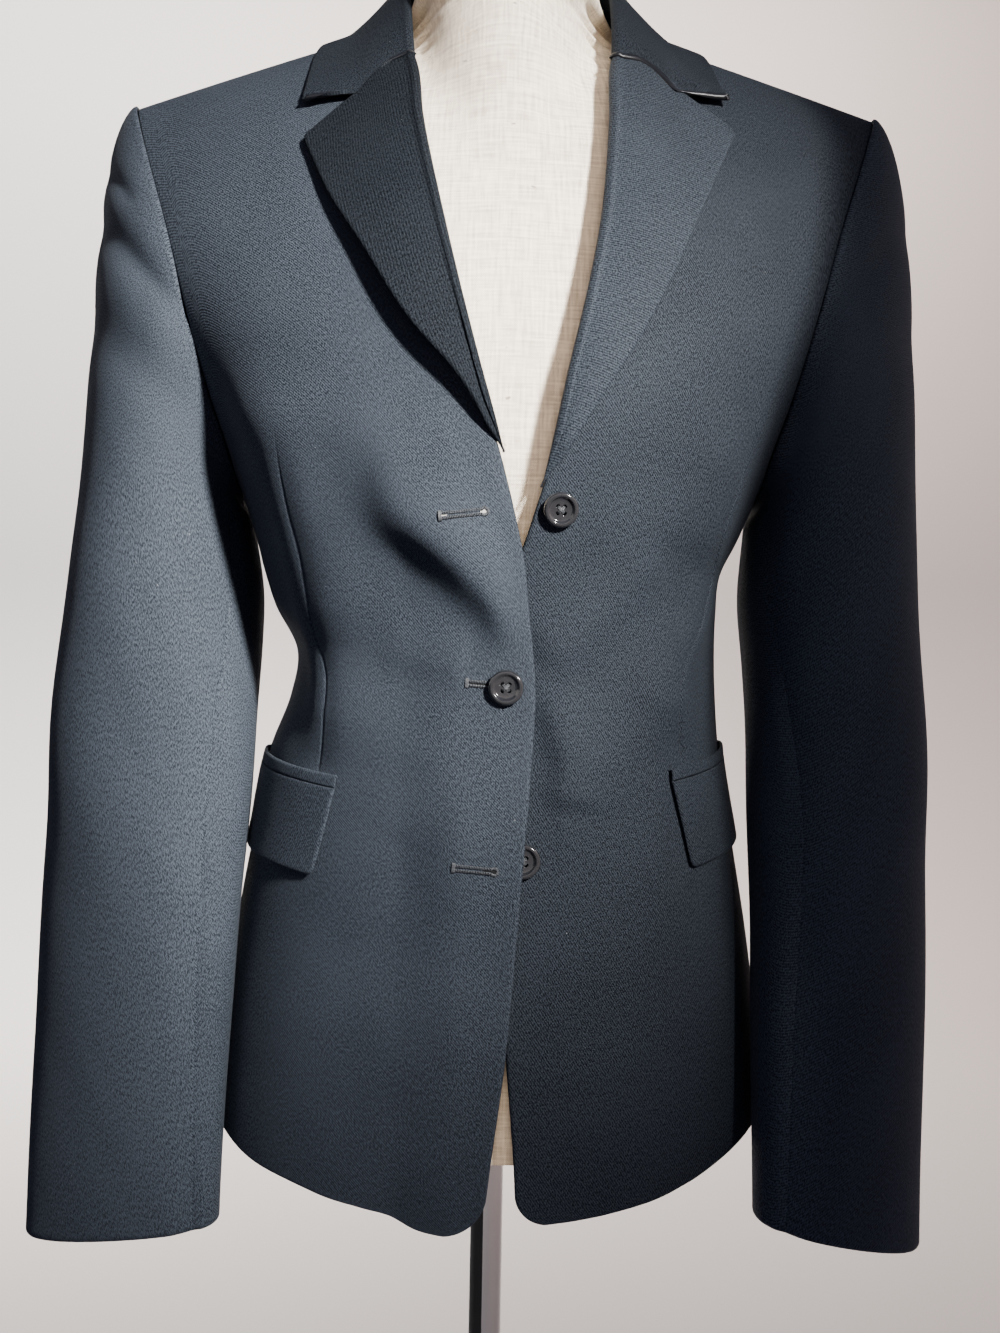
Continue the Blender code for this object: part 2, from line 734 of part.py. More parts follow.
def sleeve_point(side, angle, along):
    """The sleeve's inner face: along is 0 at the armhole, 1 below the cap, 2 at the cuff."""
    angle, along = np.broadcast_arrays(np.asarray(angle, float), np.asarray(along, float))
    to_top = (1 - np.cos(angle)) / 2
    cuff = CUFF_INNER[side] + (CUFF_OUTER[side] - CUFF_INNER[side]) * to_top
    down = np.clip(along - 1, 0, 1)
    arm = sleeve_ring(side, angle, SLEEVE_HEAD + (cuff - SLEEVE_HEAD) * down)
    seam = armhole_loop(side, angle)
    head = sleeve_ring(side, angle, np.full(angle.shape, SLEEVE_HEAD))
    turned = to_top[..., None]
    push = turned * np.array(CAP_PUSH) + (1 - turned) * np.array(UNDERARM_PUSH)
    push = push * np.array([side, 1, 1])
    push[..., 1] -= CAP_BULGE * np.sin(angle)
    gap = ARMHOLE_GAP + UNDERARM_EXTRA_GAP * (1 - to_top) ** 2
    seam = seam + gap[..., None] * np.array([side, 0, 0])
    reach = np.linalg.norm(head - seam, axis=-1, keepdims=True)
    below = sleeve_ring(side, angle, np.full(angle.shape, SLEEVE_HEAD - CAP_TANGENT_STEP))
    drop = unit(below - head) * reach * CAP_PULL
    t = np.clip(along, 0, 1)[..., None]
    cap = (
        seam * (1 + 2 * t) * (1 - t) ** 2
        + head * (3 - 2 * t) * t ** 2
        + push * t * (1 - t) ** 2
        - drop * t ** 2 * (1 - t)
    )
    return np.where((along <= 1)[..., None], cap, arm)


def sleeve_piece(side, first_angle, last_angle, columns):
    around = first_angle + (last_angle - first_angle) * spread(columns, SLEEVE_STRIP)
    along = np.concatenate([
        [0, ARMHOLE_STRIP],
        np.linspace(0, 1, CAP_ROWS + 1)[1:],
        1 + np.linspace(0, 1, ARM_ROWS + 1)[1:],
    ])
    angle, along = np.meshgrid(around, along)
    return sleeve_point(side, angle, along)


# --- Lapels and collar ------------------------------------------------------

FALL_COLUMNS = (0.0, 0.25, 0.5, 0.75, 1.0)
ROLL_DEGREES = (120, 60)
COLLAR_STATIONS = 13
COLLAR_REST = 0.0047
GORGE_REST = 0.0043
RIDGE_REST = 0.0008
RIDGE_REACH = 0.16
COLLAR_TO_GORGE = 1.5
PROBE = 1e-5
PUSHES = 4


def folded(seam, fold, edge, outward, radius):
    """One row of a folded strip, from its seam over the fold to its edge."""
    inward = -outward
    over = np.array([0, 0, 1.0]) - outward * outward[2]
    over = over / np.linalg.norm(over)
    row = [seam, fold + inward * radius]
    for degrees in ROLL_DEGREES:
        turn = math.radians(degrees)
        row.append(fold + outward * radius * math.cos(turn) + over * radius * math.sin(turn))
    first = fold + outward * radius
    row += [first + (edge - first) * part for part in FALL_COLUMNS]
    return row


def gorge_bow(side, part):
    """How far the gorge seam rises over a straight line, from the roll at 0 to the notch at a half."""
    return GORGE_BOW[side] * math.sin(2 * math.pi * part) if part < 0.5 else 0.0


def lapel_points(side):
    """Rows up the roll line; columns from the front's edge over the roll to the lapel's edge."""
    edge, gorge = LAPEL_EDGES[side], GORGES[side]
    inner, notch, tip = (np.array(gorge[key]) for key in ("inner", "notch", "point"))
    low = edge["height"][0]
    grid = []
    for rise in np.linspace(0, 1, LAPEL_ROWS):
        height = low + (inner[1] - low) * rise
        roll = float(front_edge(side, height))
        edge_height = low + (tip[1] - low) * rise
        edge_out = float(smooth(edge, "height", "out", edge_height))
        # The top row bends at the notch, and the rows below it straighten out.
        bend = blend(NOTCH_BEND_FROM, 1.0, rise)
        middle = (np.array([roll, height]) + np.array([edge_out, edge_height])) / 2
        middle = middle + (notch - (inner + tip) / 2) * bend
        row = [on_front(side, roll + out, height, raised) for out, raised in ROLL_SECTION]
        start = np.array([roll + ROLL_SECTION[-1][0], height])
        end = np.array([max(edge_out, start[0] + LAPEL_LEAST_WIDTH), edge_height])
        for part in FALL_COLUMNS[1:]:
            if part <= 0.5:
                flat = start + (middle - start) * part * 2
                flat[1] += gorge_bow(side, part) * bend
            else:
                flat = middle + (end - middle) * (part - 0.5) * 2
            rest = LAPEL_REST + LAPEL_ARCH * math.sin(math.pi * part)
            row.append(on_front(side, flat[0], flat[1], rest))
        grid.append(row)
    return np.array(grid)


def push_off_shell(point, clear):
    """A point moved out of the shell, or away from it, until it is clear."""
    for _ in range(PUSHES):
        inside = depth_inside(point)
        gradient = np.array([
            (depth_inside(point + step) - depth_inside(point - step)) / (2 * PROBE)
            for step in PROBE * np.eye(3)
        ])
        size = np.linalg.norm(gradient)
        distance = -inside / size
        if distance >= clear:
            return point
        point = point - gradient / size * (clear - distance)
    return point


def depth_inside(point):
    """Above zero inside the shell, zero on it and below zero outside it."""
    x, y, z = point
    face = FRONT if y < 0 else BACK
    turn_in = rounding(face)
    top = float(shoulder_height(x))
    risen = max((z - UNDERARM) / (top - UNDERARM), 0)
    level = UNDERARM + (TIP_Z - UNDERARM) * min(risen, 1)
    width = float(smooth(RINGS, "level", "half_width", level))
    depth = float(smooth(RINGS, "level", face, level))
    wide = max(1 - (abs(x) / width) ** SQUARENESS, 1e-6) ** (1 / SQUARENESS)
    return 1 - risen ** turn_in - (abs(y) / (depth * wide)) ** turn_in


def back_neck_height(out):
    rise = shoulder_height(NECK_X) - BACK_NECK_Z
    return BACK_NECK_Z + rise * (np.asarray(out) / NECK_X) ** 2


def neck_seam(side, station):
    """Where the collar's stand meets the neck's edge, just above the shell."""
    if station <= COLLAR_AT_SHOULDER:
        out = NECK_X * math.sin(math.pi / 2 * station / COLLAR_AT_SHOULDER)
        return on_shell(BACK, side, out, back_neck_height(out), COLLAR_SEAM_RAISE[BACK])
    part = (station - COLLAR_AT_SHOULDER) / (1 - COLLAR_AT_SHOULDER)
    top = float(shoulder_height(NECK_X))
    height = top + (GORGES[side]["inner"][1] + GORGE_GAP - top) * part
    out = float(front_inner(side, height)) - COLLAR_SETBACK * part
    return on_shell(FRONT, side, out, height, COLLAR_SEAM_RAISE[FRONT])


def gorge_row(side):
    """The collar's end, just above the lapel's top: over the roll, to the notch and the tip."""
    tab, gorge = COLLARS[side], GORGES[side]
    height = gorge["inner"][1] + GORGE_GAP
    roll = float(front_edge(side, height))
    notch = np.array(gorge["notch"]) + (GORGE_GAP, GORGE_GAP)
    tip = np.array([tab["edge_out"][-1], tab["edge_z"][-1]])
    row = [on_front(side, roll + out, np.array(height), raised) for out, raised in ROLL_SECTION]
    start = np.array([roll + ROLL_SECTION[-1][0], height])
    for part in FALL_COLUMNS[1:]:
        if part <= 0.5:
            flat = start + (notch - start) * part * 2
            flat[1] += gorge_bow(side, part)
        else:
            flat = notch + (tip - notch) * (part - 0.5) * 2
        row.append(on_front(side, flat[0], np.array(flat[1]), GORGE_REST))
    return row


def collar_row(side, station):
    tab = COLLARS[side]
    values = {
        name: np.array([
            side * float(smooth(tab, "station", name + "_out", station)),
            float(smooth(tab, "station", name + "_y", station)),
            float(smooth(tab, "station", name + "_z", station)),
        ])
        for name in ("fold", "edge")
    }
    outward = values["edge"] - values["fold"]
    outward[2] = 0
    outward = outward / np.linalg.norm(outward)
    seam = neck_seam(side, station)
    row = folded(seam, values["fold"], values["edge"], outward, COLLAR_ROLL)
    for i, part in enumerate(FALL_COLUMNS):
        row[i - len(FALL_COLUMNS)][2] -= FALL_SAG * math.sin(math.pi * part)
    # The wall stands further off where it bends over the shoulder's ridge.
    ridge = math.exp(-((station - COLLAR_AT_SHOULDER) / RIDGE_REACH) ** 2)
    clear = [push_off_shell(point, COLLAR_REST + RIDGE_REST * ridge) for point in row[1:]]
    # Towards the gorge the collar takes up the lapel's line.
    ended = blend(COLLAR_AT_SHOULDER, 1.0, station) ** COLLAR_TO_GORGE
    end = gorge_row(side)
    return [row[0], *(a + (b - a) * ended for a, b in zip(clear, end))]


def collar_points():
    """Rows from the right gorge round the back of the neck to the left gorge."""
    steps = np.linspace(1, 0, COLLAR_STATIONS)
    rows = [collar_row(RIGHT, step) for step in steps]
    rows += [collar_row(LEFT, step) for step in steps[::-1][1:]]
    return np.array(rows)


# --- Pockets ----------------------------------------------------------------

def pocket_strip(side, top_drop, bottom_drop, raised, lean):
    """A strip along the pocket's slanted line, between two distances below it."""
    pocket = POCKETS[side]
    inner_out, inner_height = pocket["inner"]
    inner_angle = float(place(shifted(side, inner_out, inner_height), inner_height))
    outer_angle = pocket["outer_turn"] * math.pi / 2
    rows = []
    for part in np.linspace(0, 1, POCKET_ROWS):
        row = []
        drop = bottom_drop + (top_drop - bottom_drop) * part
        for u in np.linspace(0, 1, POCKET_COLUMNS):
            height = inner_height + (pocket["outer_height"] - inner_height) * u - drop
            width = float(smooth(RINGS, "level", "half_width", height))
            end = inner_angle + lean * (1 - part) * (1 - u) / width
            angle = end + (outer_angle - end) * u
            point = shell_point(FRONT, side, angle, height)
            normal = shell_normal(FRONT, side, angle, height)
            row.append(point + normal * raised)
        rows.append(row)
    return np.array(rows)


# --- Turned pieces ----------------------------------------------------------

def turned(name, profile, steps, colour, roughness, metallic=0.0):
    """A solid turned about Z from a profile of radius and height, top to bottom."""
    mesh = bpy.data.meshes.new(name)
    line = bmesh.new()
    made = [line.verts.new((radius, 0, height)) for radius, height in profile]
    for first, second in zip(made, made[1:]):
        line.edges.new((first, second))
    line.to_mesh(mesh)
    line.free()
    thing = add_object(name, mesh, colour, roughness, metallic)
    screw = thing.modifiers.new("turn", "SCREW")
    screw.steps = screw.render_steps = steps
    screw.use_merge_vertices = True
    screw.merge_threshold = 0.00005
    screw.use_smooth_shade = True
    return thing


def button(name):
    side, x, height = BUTTONS[name]
    r, t = BUTTON_RADIUS, BUTTON_THICKNESS
    profile = [
        (0, t * 0.62), (r * 0.62, t * 0.62), (r * 0.74, t), (r * 0.90, t),
        (r, t * 0.55), (r * 0.80, 0.0), (0, 0),
    ]
    thing = turned(name, profile, BUTTON_STEPS, BUTTON_BLACK, 0.25)
    out = side * x
    height = np.array(height)
    span = BUTTON_TILT_SPAN
    normal = unit(
        np.cross(
            on_front(side, out + span, height) - on_front(side, out - span, height),
            on_front(side, out, height + span) - on_front(side, out, height - span),
        )
    ) * side
    thing.location = on_front(side, out, height) + normal * BUTTON_REST
    turn = math.atan2(normal[0], -normal[1])
    tilt = math.asin(normal[2])
    thing.rotation_euler = (math.pi / 2 - tilt, 0, turn)
    return thing


def cut_button_holes(thing):
    """Four holes through a button."""
    half = BUTTON_HOLE_SPACING / 2
    holes = bmesh.new()
    for x, y in ((half, half), (-half, half), (-half, -half), (half, -half)):
        made = bmesh.ops.create_cone(
            holes, cap_ends=True, segments=8, radius1=BUTTON_HOLE_RADIUS,
            radius2=BUTTON_HOLE_RADIUS, depth=BUTTON_THICKNESS * 3,
        )
        bmesh.ops.translate(holes, verts=made["verts"], vec=(x, y, 0))
    mesh = bpy.data.meshes.new(thing.name + "_holes")
    holes.to_mesh(mesh)
    holes.free()
    cutter = bpy.data.objects.new(thing.name + "_holes", mesh)
    CUTTERS.objects.link(cutter)
    cutter.location = thing.location
    cutter.rotation_euler = thing.rotation_euler
    cutter.hide_render = True
    cutter.display_type = "WIRE"
    cut = thing.modifiers.new("holes", "BOOLEAN")
    cut.operation = "DIFFERENCE"
    cut.object = cutter


# --- Dress form -------------------------------------------------------------

FORM_COLUMNS = 32


def oval_row(height, half_width, front, back, centre_y, shift=0.0):
    """A closed horizontal row of the form, round from the centre front."""
    angle = np.linspace(0, 2 * math.pi, FORM_COLUMNS, endpoint=False)
    power = 2 / SQUARENESS
    across = np.sign(np.sin(angle)) * np.abs(np.sin(angle)) ** power
    ahead = np.sign(np.cos(angle)) * np.abs(np.cos(angle)) ** power
    depth = np.where(ahead > 0, front, back)
    return np.stack([
        half_width * across + shift, centre_y - depth * ahead, np.full(len(angle), height),
    ], axis=-1)


def chest_row(height, half_width):
    """A row that follows the garment's inside, with flat ends at the armholes."""
    angle = np.linspace(0, 2 * math.pi, FORM_COLUMNS, endpoint=False)
    out = half_width * np.sin(angle)
    ahead = np.cos(angle)
    row = []
    for x, forward in zip(out, ahead):
        face = FRONT if forward > 0 else BACK
        y = 0.0
        if abs(forward) > 1e-6:
            level = level_of(x, height + CLOTH + FORM_DROP)
            y = shell_point(face, LEFT, place(x, level), level)[1] * FORM_DEPTH
            # The neck grows out of the chest and the back.
            sign = -1 if face == FRONT else 1
            neck = NECK_CENTRE_Y + sign * math.sqrt(max(NECK_RADIUS ** 2 - x ** 2, 0))
            grown = float(blend(NECK_FROM, NECK_FULL, height))
            y = sign * max(sign * y, sign * neck * grown if abs(x) < NECK_RADIUS else 0.0)
        row.append((x, y, height))
    return np.array(row)


def form_rows():
    rows = []
    for height, half_width, front, back in zip(*FORM_RINGS.values()):
        shift = float(smooth(RINGS, "level", "shift", height))
        rows.append(oval_row(height, half_width, front, back, 0.0, shift))
    most = FORM_RINGS["half_width"][-1]
    for height in FORM_CHEST:
        grown = blend(FORM_RINGS["height"][-1], FORM_CHEST_FULL, height)
        rows.append(chest_row(height, most + (FORM_HALF_WIDTH - most) * grown))
    # The shoulders lie along the garment's seam, just under the cloth.
    for out in FORM_SHOULDER_OUT:
        height = float(shoulder_height(out)) - CLOTH - FORM_REST
        rows.append(chest_row(height, out))
    for height, half_width, depth in zip(*NECK_RINGS.values()):
        rows.append(oval_row(height, half_width, depth, depth, NECK_CENTRE_Y))
    return np.array(rows)


def form_mesh():
    rows = form_rows()
    mesh = grid_mesh("form_torso", rows, closed=True)
    ends = bmesh.new()
    ends.from_mesh(mesh)
    bmesh.ops.holes_fill(ends, edges=ends.edges, sides=0)
    bmesh.ops.recalc_face_normals(ends, faces=ends.faces)
    ends.to_mesh(mesh)
    ends.free()
    mesh.set_sharp_from_angle(angle=math.radians(50))
    return mesh


def build_side(side, name):
    """The pieces that each side of the blazer has."""
    mirrored = side == RIGHT
    cloth("front_" + name, front_points(side), flip=mirrored)
    cloth("back_" + name, back_points(side), flip=not mirrored)
    front_seam, back_seam = FRONT_SEAM_ANGLE, BACK_SEAM_ANGLE
    turn = SLEEVE_SEAM_TURN
    top = sleeve_piece(side, front_seam + turn, 2 * math.pi + back_seam - turn, TOP_SLEEVE_COLUMNS)
    under = sleeve_piece(side, back_seam + turn, front_seam - turn, UNDER_SLEEVE_COLUMNS)
    cloth("sleeve_" + name + "_top", top, flip=mirrored)
    cloth("sleeve_" + name + "_under", under, flip=mirrored)
    cloth("lapel_" + name, lapel_points(side), flip=mirrored)
    raised = POCKET_STANDOFF + CLOTH
    welt = pocket_strip(side, 0.0, WELT_HEIGHT, raised, 0.0)
    flap = pocket_strip(side, WELT_HEIGHT + SEAM, WELT_HEIGHT + FLAP_HEIGHT, raised, FLAP_LEAN)
    cloth("welt_" + name, welt, flip=mirrored)
    cloth("flap_" + name, flap, flip=mirrored)


def build_stand():
    add_object("form_torso", form_mesh(), LINEN, 0.85)
    top, bottom = FORM_BOTTOM - SEAM, BASE_HEIGHT + SEAM
    pole = [(0, top), (POLE_RADIUS, top), (POLE_RADIUS, bottom), (0, bottom)]
    turned("pole", pole, POLE_STEPS, CHROME, 0.12, 1.0)
    rim = BASE_RADIUS - BASE_BEVEL, BASE_HEIGHT - BASE_BEVEL
    base = [(0, BASE_HEIGHT), (rim[0], BASE_HEIGHT), (BASE_RADIUS, rim[1]), (BASE_RADIUS, 0), (0, 0)]
    turned("base", base, BASE_STEPS, STEEL, 0.3, 1.0)


def build():
    start_scene()
    build_side(RIGHT, "right")
    build_side(LEFT, "left")
    cloth("collar", collar_points(), flip=True)
    for name in BUTTONS:
        cut_button_holes(button(name))
    build_stand()


build()
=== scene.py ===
"""The blazer on its dress form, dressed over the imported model."""

import math

import bmesh
import bpy
import numpy as np
from mathutils import Matrix, Vector


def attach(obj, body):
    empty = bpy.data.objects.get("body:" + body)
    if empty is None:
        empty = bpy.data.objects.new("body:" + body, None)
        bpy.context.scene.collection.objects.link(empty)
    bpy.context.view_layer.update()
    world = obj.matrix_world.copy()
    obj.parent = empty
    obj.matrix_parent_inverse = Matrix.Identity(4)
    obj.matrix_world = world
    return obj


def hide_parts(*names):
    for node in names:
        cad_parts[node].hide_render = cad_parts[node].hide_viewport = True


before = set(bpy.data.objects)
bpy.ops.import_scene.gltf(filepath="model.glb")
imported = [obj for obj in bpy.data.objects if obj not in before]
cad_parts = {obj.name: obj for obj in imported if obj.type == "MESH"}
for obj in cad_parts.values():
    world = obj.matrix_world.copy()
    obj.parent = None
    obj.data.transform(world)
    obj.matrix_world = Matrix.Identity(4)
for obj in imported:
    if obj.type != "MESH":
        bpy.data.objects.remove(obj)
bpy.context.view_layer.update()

# Cloth and seams
CLOTH = 0.002
SEAM = 0.0003

# Heights and widths that the rest is worked out from
UNDERARM = 1.135
TIP_X = 0.215
TIP_Z = 1.360
SHOULDER_SLOPE = 0.333
NECK_X = 0.070
NECK_ROUND = 0.030
BACK_NECK_Z = 1.388
SQUARENESS = 2.3
FRONT_ROUNDING = 1.8
BACK_ROUNDING = 2.6

RIGHT, LEFT = -1, 1
FRONT, BACK = "front", "back"


def table(columns, rows):
    """A table of numbers, as one array for each named column."""
    return dict(zip(columns.split(), np.array(rows, float).T))


# Horizontal sections of the shell: above the underarm the half width is that of
# the whole oval, which the armhole cuts.
RINGS = table("level half_width front back shift", [
    (0.74, 0.1595, 0.108, 0.118, 0), (0.8, 0.1565, 0.11, 0.122, 0),
    (0.85, 0.152, 0.11, 0.122, 0), (0.89, 0.1465, 0.108, 0.117, 0),
    (0.945, 0.137, 0.105, 0.104, 0), (0.99, 0.1292, 0.102, 0.09, 0.0004),
    (1.02, 0.1226, 0.099, 0.083, 0.0046), (1.045, 0.1206, 0.098, 0.081, 0.0056),
    (1.07, 0.1272, 0.099, 0.083, -0.0006), (1.09, 0.1312, 0.102, 0.087, -0.0032),
    (1.11, 0.1387, 0.106, 0.091, -0.001), (1.135, 0.1485, 0.11, 0.096, 0),
    (1.15, 0.155, 0.111, 0.099, 0), (1.18, 0.1705, 0.112, 0.105, 0),
    (1.23, 0.198, 0.109, 0.11, 0), (1.27, 0.216, 0.104, 0.11, 0),
    (1.31, 0.233, 0.098, 0.106, 0), (1.36, 0.25, 0.092, 0.1, 0),
])

# How far out from the centre the armhole seam runs, at each level.
ARMHOLES = table("level front back", [
    (1.135, 0.1485, 0.1485), (1.148, 0.1505, 0.15), (1.18, 0.1605, 0.158),
    (1.23, 0.1745, 0.17), (1.27, 0.186, 0.181), (1.31, 0.199, 0.195), (1.36, 0.215, 0.215),
])

# How far each front's free edge and its roll line lie from the centre line,
# outwards on the front's own side: below zero it crosses the centre.
FRONT_EDGES = table("height right left", [
    (0.74, 0.003, 0.016), (0.785, -0.0018, 0.0137), (0.844, -0.0089, 0.0085),
    (0.893, -0.0126, 0.005), (0.938, -0.0157, 0.0015), (0.985, -0.019, -0.005),
    (1.026, -0.0206, -0.01), (1.06, -0.0175, -0.003), (1.096, -0.013, 0.0125),
    (1.116, -0.0085, 0.019), (1.153, -0.0005, 0.027), (1.19, 0.01, 0.0345),
    (1.214, 0.0165, 0.04), (1.267, 0.0296, 0.0498), (1.328, 0.0428, 0.0552),
    (1.372, 0.05, 0.0575), (1.408, 0.07, 0.07),
])

# The hem's height from the front edge (0) round past the side seam (1) to the
# centre back (2), on each side.
HEMS = {
    RIGHT: table("turn height", [
        (0, 0.7515), (0.06, 0.7535), (0.12, 0.759), (0.2, 0.7618), (0.3, 0.7645),
        (0.42, 0.7695), (0.56, 0.7745), (0.68, 0.7805), (1, 0.7925), (1.5, 0.787), (2, 0.78),
    ]),
    LEFT: table("turn height", [
        (0, 0.7565), (0.1, 0.759), (0.2, 0.7622), (0.3, 0.7658), (0.4, 0.7712), (0.52, 0.7787),
        (0.64, 0.785), (1, 0.796), (1.5, 0.788), (2, 0.78),
    ]),
}
CORNER_RADIUS = {RIGHT: 0.020, LEFT: 0.015}

# Lapel edges: distance out from the centre line and height, from the break up
# to the point.
LAPEL_EDGES = {
    RIGHT: table("height out", [
        (1.148, 0.002), (1.179, 0.0208), (1.205, 0.0445), (1.253, 0.0749), (1.275, 0.0883),
        (1.318, 0.108),
    ]),
    LEFT: table("height out", [
        (1.131, 0.0265), (1.169, 0.0491), (1.203, 0.07), (1.239, 0.0879), (1.257, 0.0956),
        (1.328, 0.1254),
    ]),
}
# Out and height of the gorge seam's inner end, the notch and the lapel's point.
GORGES = {
    RIGHT: {"inner": (0.0505, 1.3715), "notch": (0.0775, 1.3460), "point": (0.1080, 1.3180)},
    LEFT: {"inner": (0.0580, 1.3735), "notch": (0.0935, 1.3510), "point": (0.1254, 1.3280)},
}
ROLL_INSET = 0.0045
INSET_ENDS = (0.004, 0.030)
COLLAR_ROLL = 0.0026
COLLAR_AT_SHOULDER = 0.60
COLLAR_SEAM_RAISE = {BACK: 0.0020, FRONT: 0.0031}
COLLAR_SETBACK = 0.0012
GORGE_GAP = -0.0009
GORGE_BOW = {RIGHT: 0.0055, LEFT: 0.0080}
FALL_SAG = 0.0035
LAPEL_REST = 0.0041
LAPEL_ARCH = 0.0010
LAPEL_LEAST_WIDTH = 0.003
LAPEL_ROWS = 130
# The part of the lapel's height above which its rows bend towards the notch.
NOTCH_BEND_FROM = 0.55
# The lapel's outer face as it turns over the roll: out from the roll line, and
# raised from the front.
ROLL_KEYS = table("part out raised", [
    (0, 0.0022, -0.0012), (1, 0.0002, 0.001), (2, 0.0008, 0.0036), (3, 0.0036, 0.0052),
])

# Collar stations, from the centre back (0) past the shoulder seam to the gorge
# (1). Each has the centre of the fold and the outer edge, as out, y and height.
COLLAR_COLUMNS = "station fold_out fold_y fold_z edge_out edge_y edge_z"
COLLARS = {
    RIGHT: table(COLLAR_COLUMNS, [
        (0, 0, 0.054, 1.434, 0, 0.096, 1.372), (0.35, 0.042, 0.038, 1.437, 0.072, 0.068, 1.38),
        (0.6, 0.0585, 0, 1.4385, 0.1025, 0.006, 1.398),
        (0.8, 0.0565, -0.03, 1.414, 0.1095, -0.032, 1.372),
        (1, 0.052, -0.048, 1.376, 0.1112, -0.055, 1.344),
    ]),
    LEFT: table(COLLAR_COLUMNS, [
        (0, 0, 0.054, 1.434, 0, 0.096, 1.372), (0.35, 0.042, 0.038, 1.437, 0.072, 0.068, 1.38),
        (0.6, 0.0585, 0, 1.4385, 0.107, 0.006, 1.3955),
        (0.8, 0.0605, -0.03, 1.414, 0.118, -0.032, 1.3695),
        (1, 0.0595, -0.048, 1.378, 0.1232, -0.055, 1.3512),
    ]),
}

# Sleeve sections: the inner and the outer edge as out and y, and half the depth.
SLEEVE_COLUMNS = "height inner_out inner_y outer_out outer_y half_depth"
SLEEVES = {
    RIGHT: table(SLEEVE_COLUMNS, [
        (0.7, 0.147, -0.064, 0.2562, -0.03, 0.022),
        (0.76, 0.145, -0.068, 0.2563, -0.023, 0.026),
        (0.85, 0.142, -0.07, 0.255, -0.01, 0.032), (0.955, 0.141, -0.054, 0.2508, 0, 0.04),
        (1.05, 0.14, -0.022, 0.2464, 0.003, 0.053),
        (1.078, 0.141, -0.012, 0.245, 0.004, 0.057), (1.12, 0.1475, 0, 0.2425, 0.004, 0.06),
    ]),
    LEFT: table(SLEEVE_COLUMNS, [
        (0.7, 0.144, -0.084, 0.2316, -0.05, 0.029),
        (0.76, 0.144, -0.084, 0.2322, -0.04, 0.032),
        (0.85, 0.145, -0.079, 0.2352, -0.027, 0.037),
        (0.955, 0.151, -0.057, 0.2347, -0.007, 0.045),
        (1.045, 0.148, -0.022, 0.2377, 0, 0.054),
        (1.078, 0.1455, -0.012, 0.2388, 0.002, 0.057), (1.12, 0.148, 0, 0.2402, 0.004, 0.06),
    ]),
}
SLEEVE_HEAD = 1.120
CUFF_INNER = {RIGHT: 0.7390, LEFT: 0.7520}
CUFF_OUTER = {RIGHT: 0.7168, LEFT: 0.7285}
FRONT_SEAM_ANGLE = math.radians(26)
BACK_SEAM_ANGLE = math.radians(-95)
SLEEVE_SEAM_TURN = 0.0045

# Folds die away between these parts of a front's width, and between these
# distances out from the centre line.
FOLDS_FADE = (0.80, 0.97)
FOLDS_BEGIN = (-0.022, 0.006)
# A slow unevenness of the cloth, as scale and depth, and the heights where it ends
FRONT_RIPPLE = (0.120, 0.0004)
BACK_RIPPLE = (0.110, 0.0009)
FRONT_RIPPLE_ENDS = (1.20, 1.28)
BACK_RIPPLE_ENDS = (1.25, 1.33)
# Front overlap
OVERLAP_LIFT = 0.0031
OVERLAP_FROM = 0.050
OVERLAP_TO = 0.014
OVERLAP_ENDS = (0.075, 0.135)
BUTTON_LIFT = 0.0042
BUTTON_LIFT_REACH = 0.036

# Pockets: ends of the welt's top line as out and height, on each front
POCKETS = {
    RIGHT: {"inner": (0.0800, 0.9790), "outer_turn": 0.955, "outer_height": 0.9900},
    LEFT: {"inner": (0.0915, 0.9850), "outer_turn": 0.955, "outer_height": 0.9970},
}
WELT_HEIGHT = 0.0065
FLAP_HEIGHT = 0.0460
FLAP_LEAN = 0.0090
POCKET_STANDOFF = 0.0009

# Buttons: centre as x and height, with the front that each lies on
BUTTON_RADIUS = 0.0090
BUTTON_THICKNESS = 0.0034
BUTTON_HOLE_RADIUS = 0.0010
BUTTON_HOLE_SPACING = 0.0034
BUTTON_STEPS = 72
BUTTON_REST = 0.0005
BUTTON_TILT_SPAN = 0.003
BUTTONS = {
    "button_top": (LEFT, 0.0322, 1.1165),
    "button_middle": (RIGHT, 0.0005, 1.0260),
    "button_lower": (LEFT, 0.0155, 0.9390),
}

# Dress form, pole and base
FORM_BOTTOM = 0.7820
# Below the cloth's inner face at the shoulders
FORM_REST = 0.0007
NECK_RADIUS = 0.0500
NECK_RINGS = table("height half_width depth", [
    (1.412, 0.0555, 0.05), (1.44, 0.053, 0.0495), (1.494, 0.05, 0.048), (1.5, 0.044, 0.042),
])
NECK_CENTRE_Y = -0.0080
NECK_FROM = 1.285
NECK_FULL = 1.345
# Sections of the form below the underarm; above it, it follows the garment.
FORM_RINGS = table("height half_width front back", [
    (0.782, 0.144, 0.096, 0.108), (0.85, 0.139, 0.098, 0.11), (0.89, 0.134, 0.096, 0.105),
    (0.945, 0.123, 0.093, 0.092), (1, 0.114, 0.089, 0.077), (1.045, 0.109, 0.086, 0.069),
    (1.09, 0.118, 0.089, 0.075), (1.135, 0.133, 0.097, 0.084),
])
FORM_HALF_WIDTH = 0.166
FORM_DEPTH = 0.87
FORM_DROP = 0.0050
FORM_CHEST_FULL = 1.280
FORM_CHEST = (1.165, 1.200, 1.240, 1.280, 1.315, 1.345)
FORM_SHOULDER_OUT = (0.166, 0.140, 0.115, 0.090, 0.070)
POLE_RADIUS = 0.0095
BASE_RADIUS = 0.160
BASE_HEIGHT = 0.008
BASE_BEVEL = 0.0025
POLE_BEVEL = 0.0006
POLE_STEPS = 96
BASE_STEPS = 160


# --- Reading the tables -----------------------------------------------------

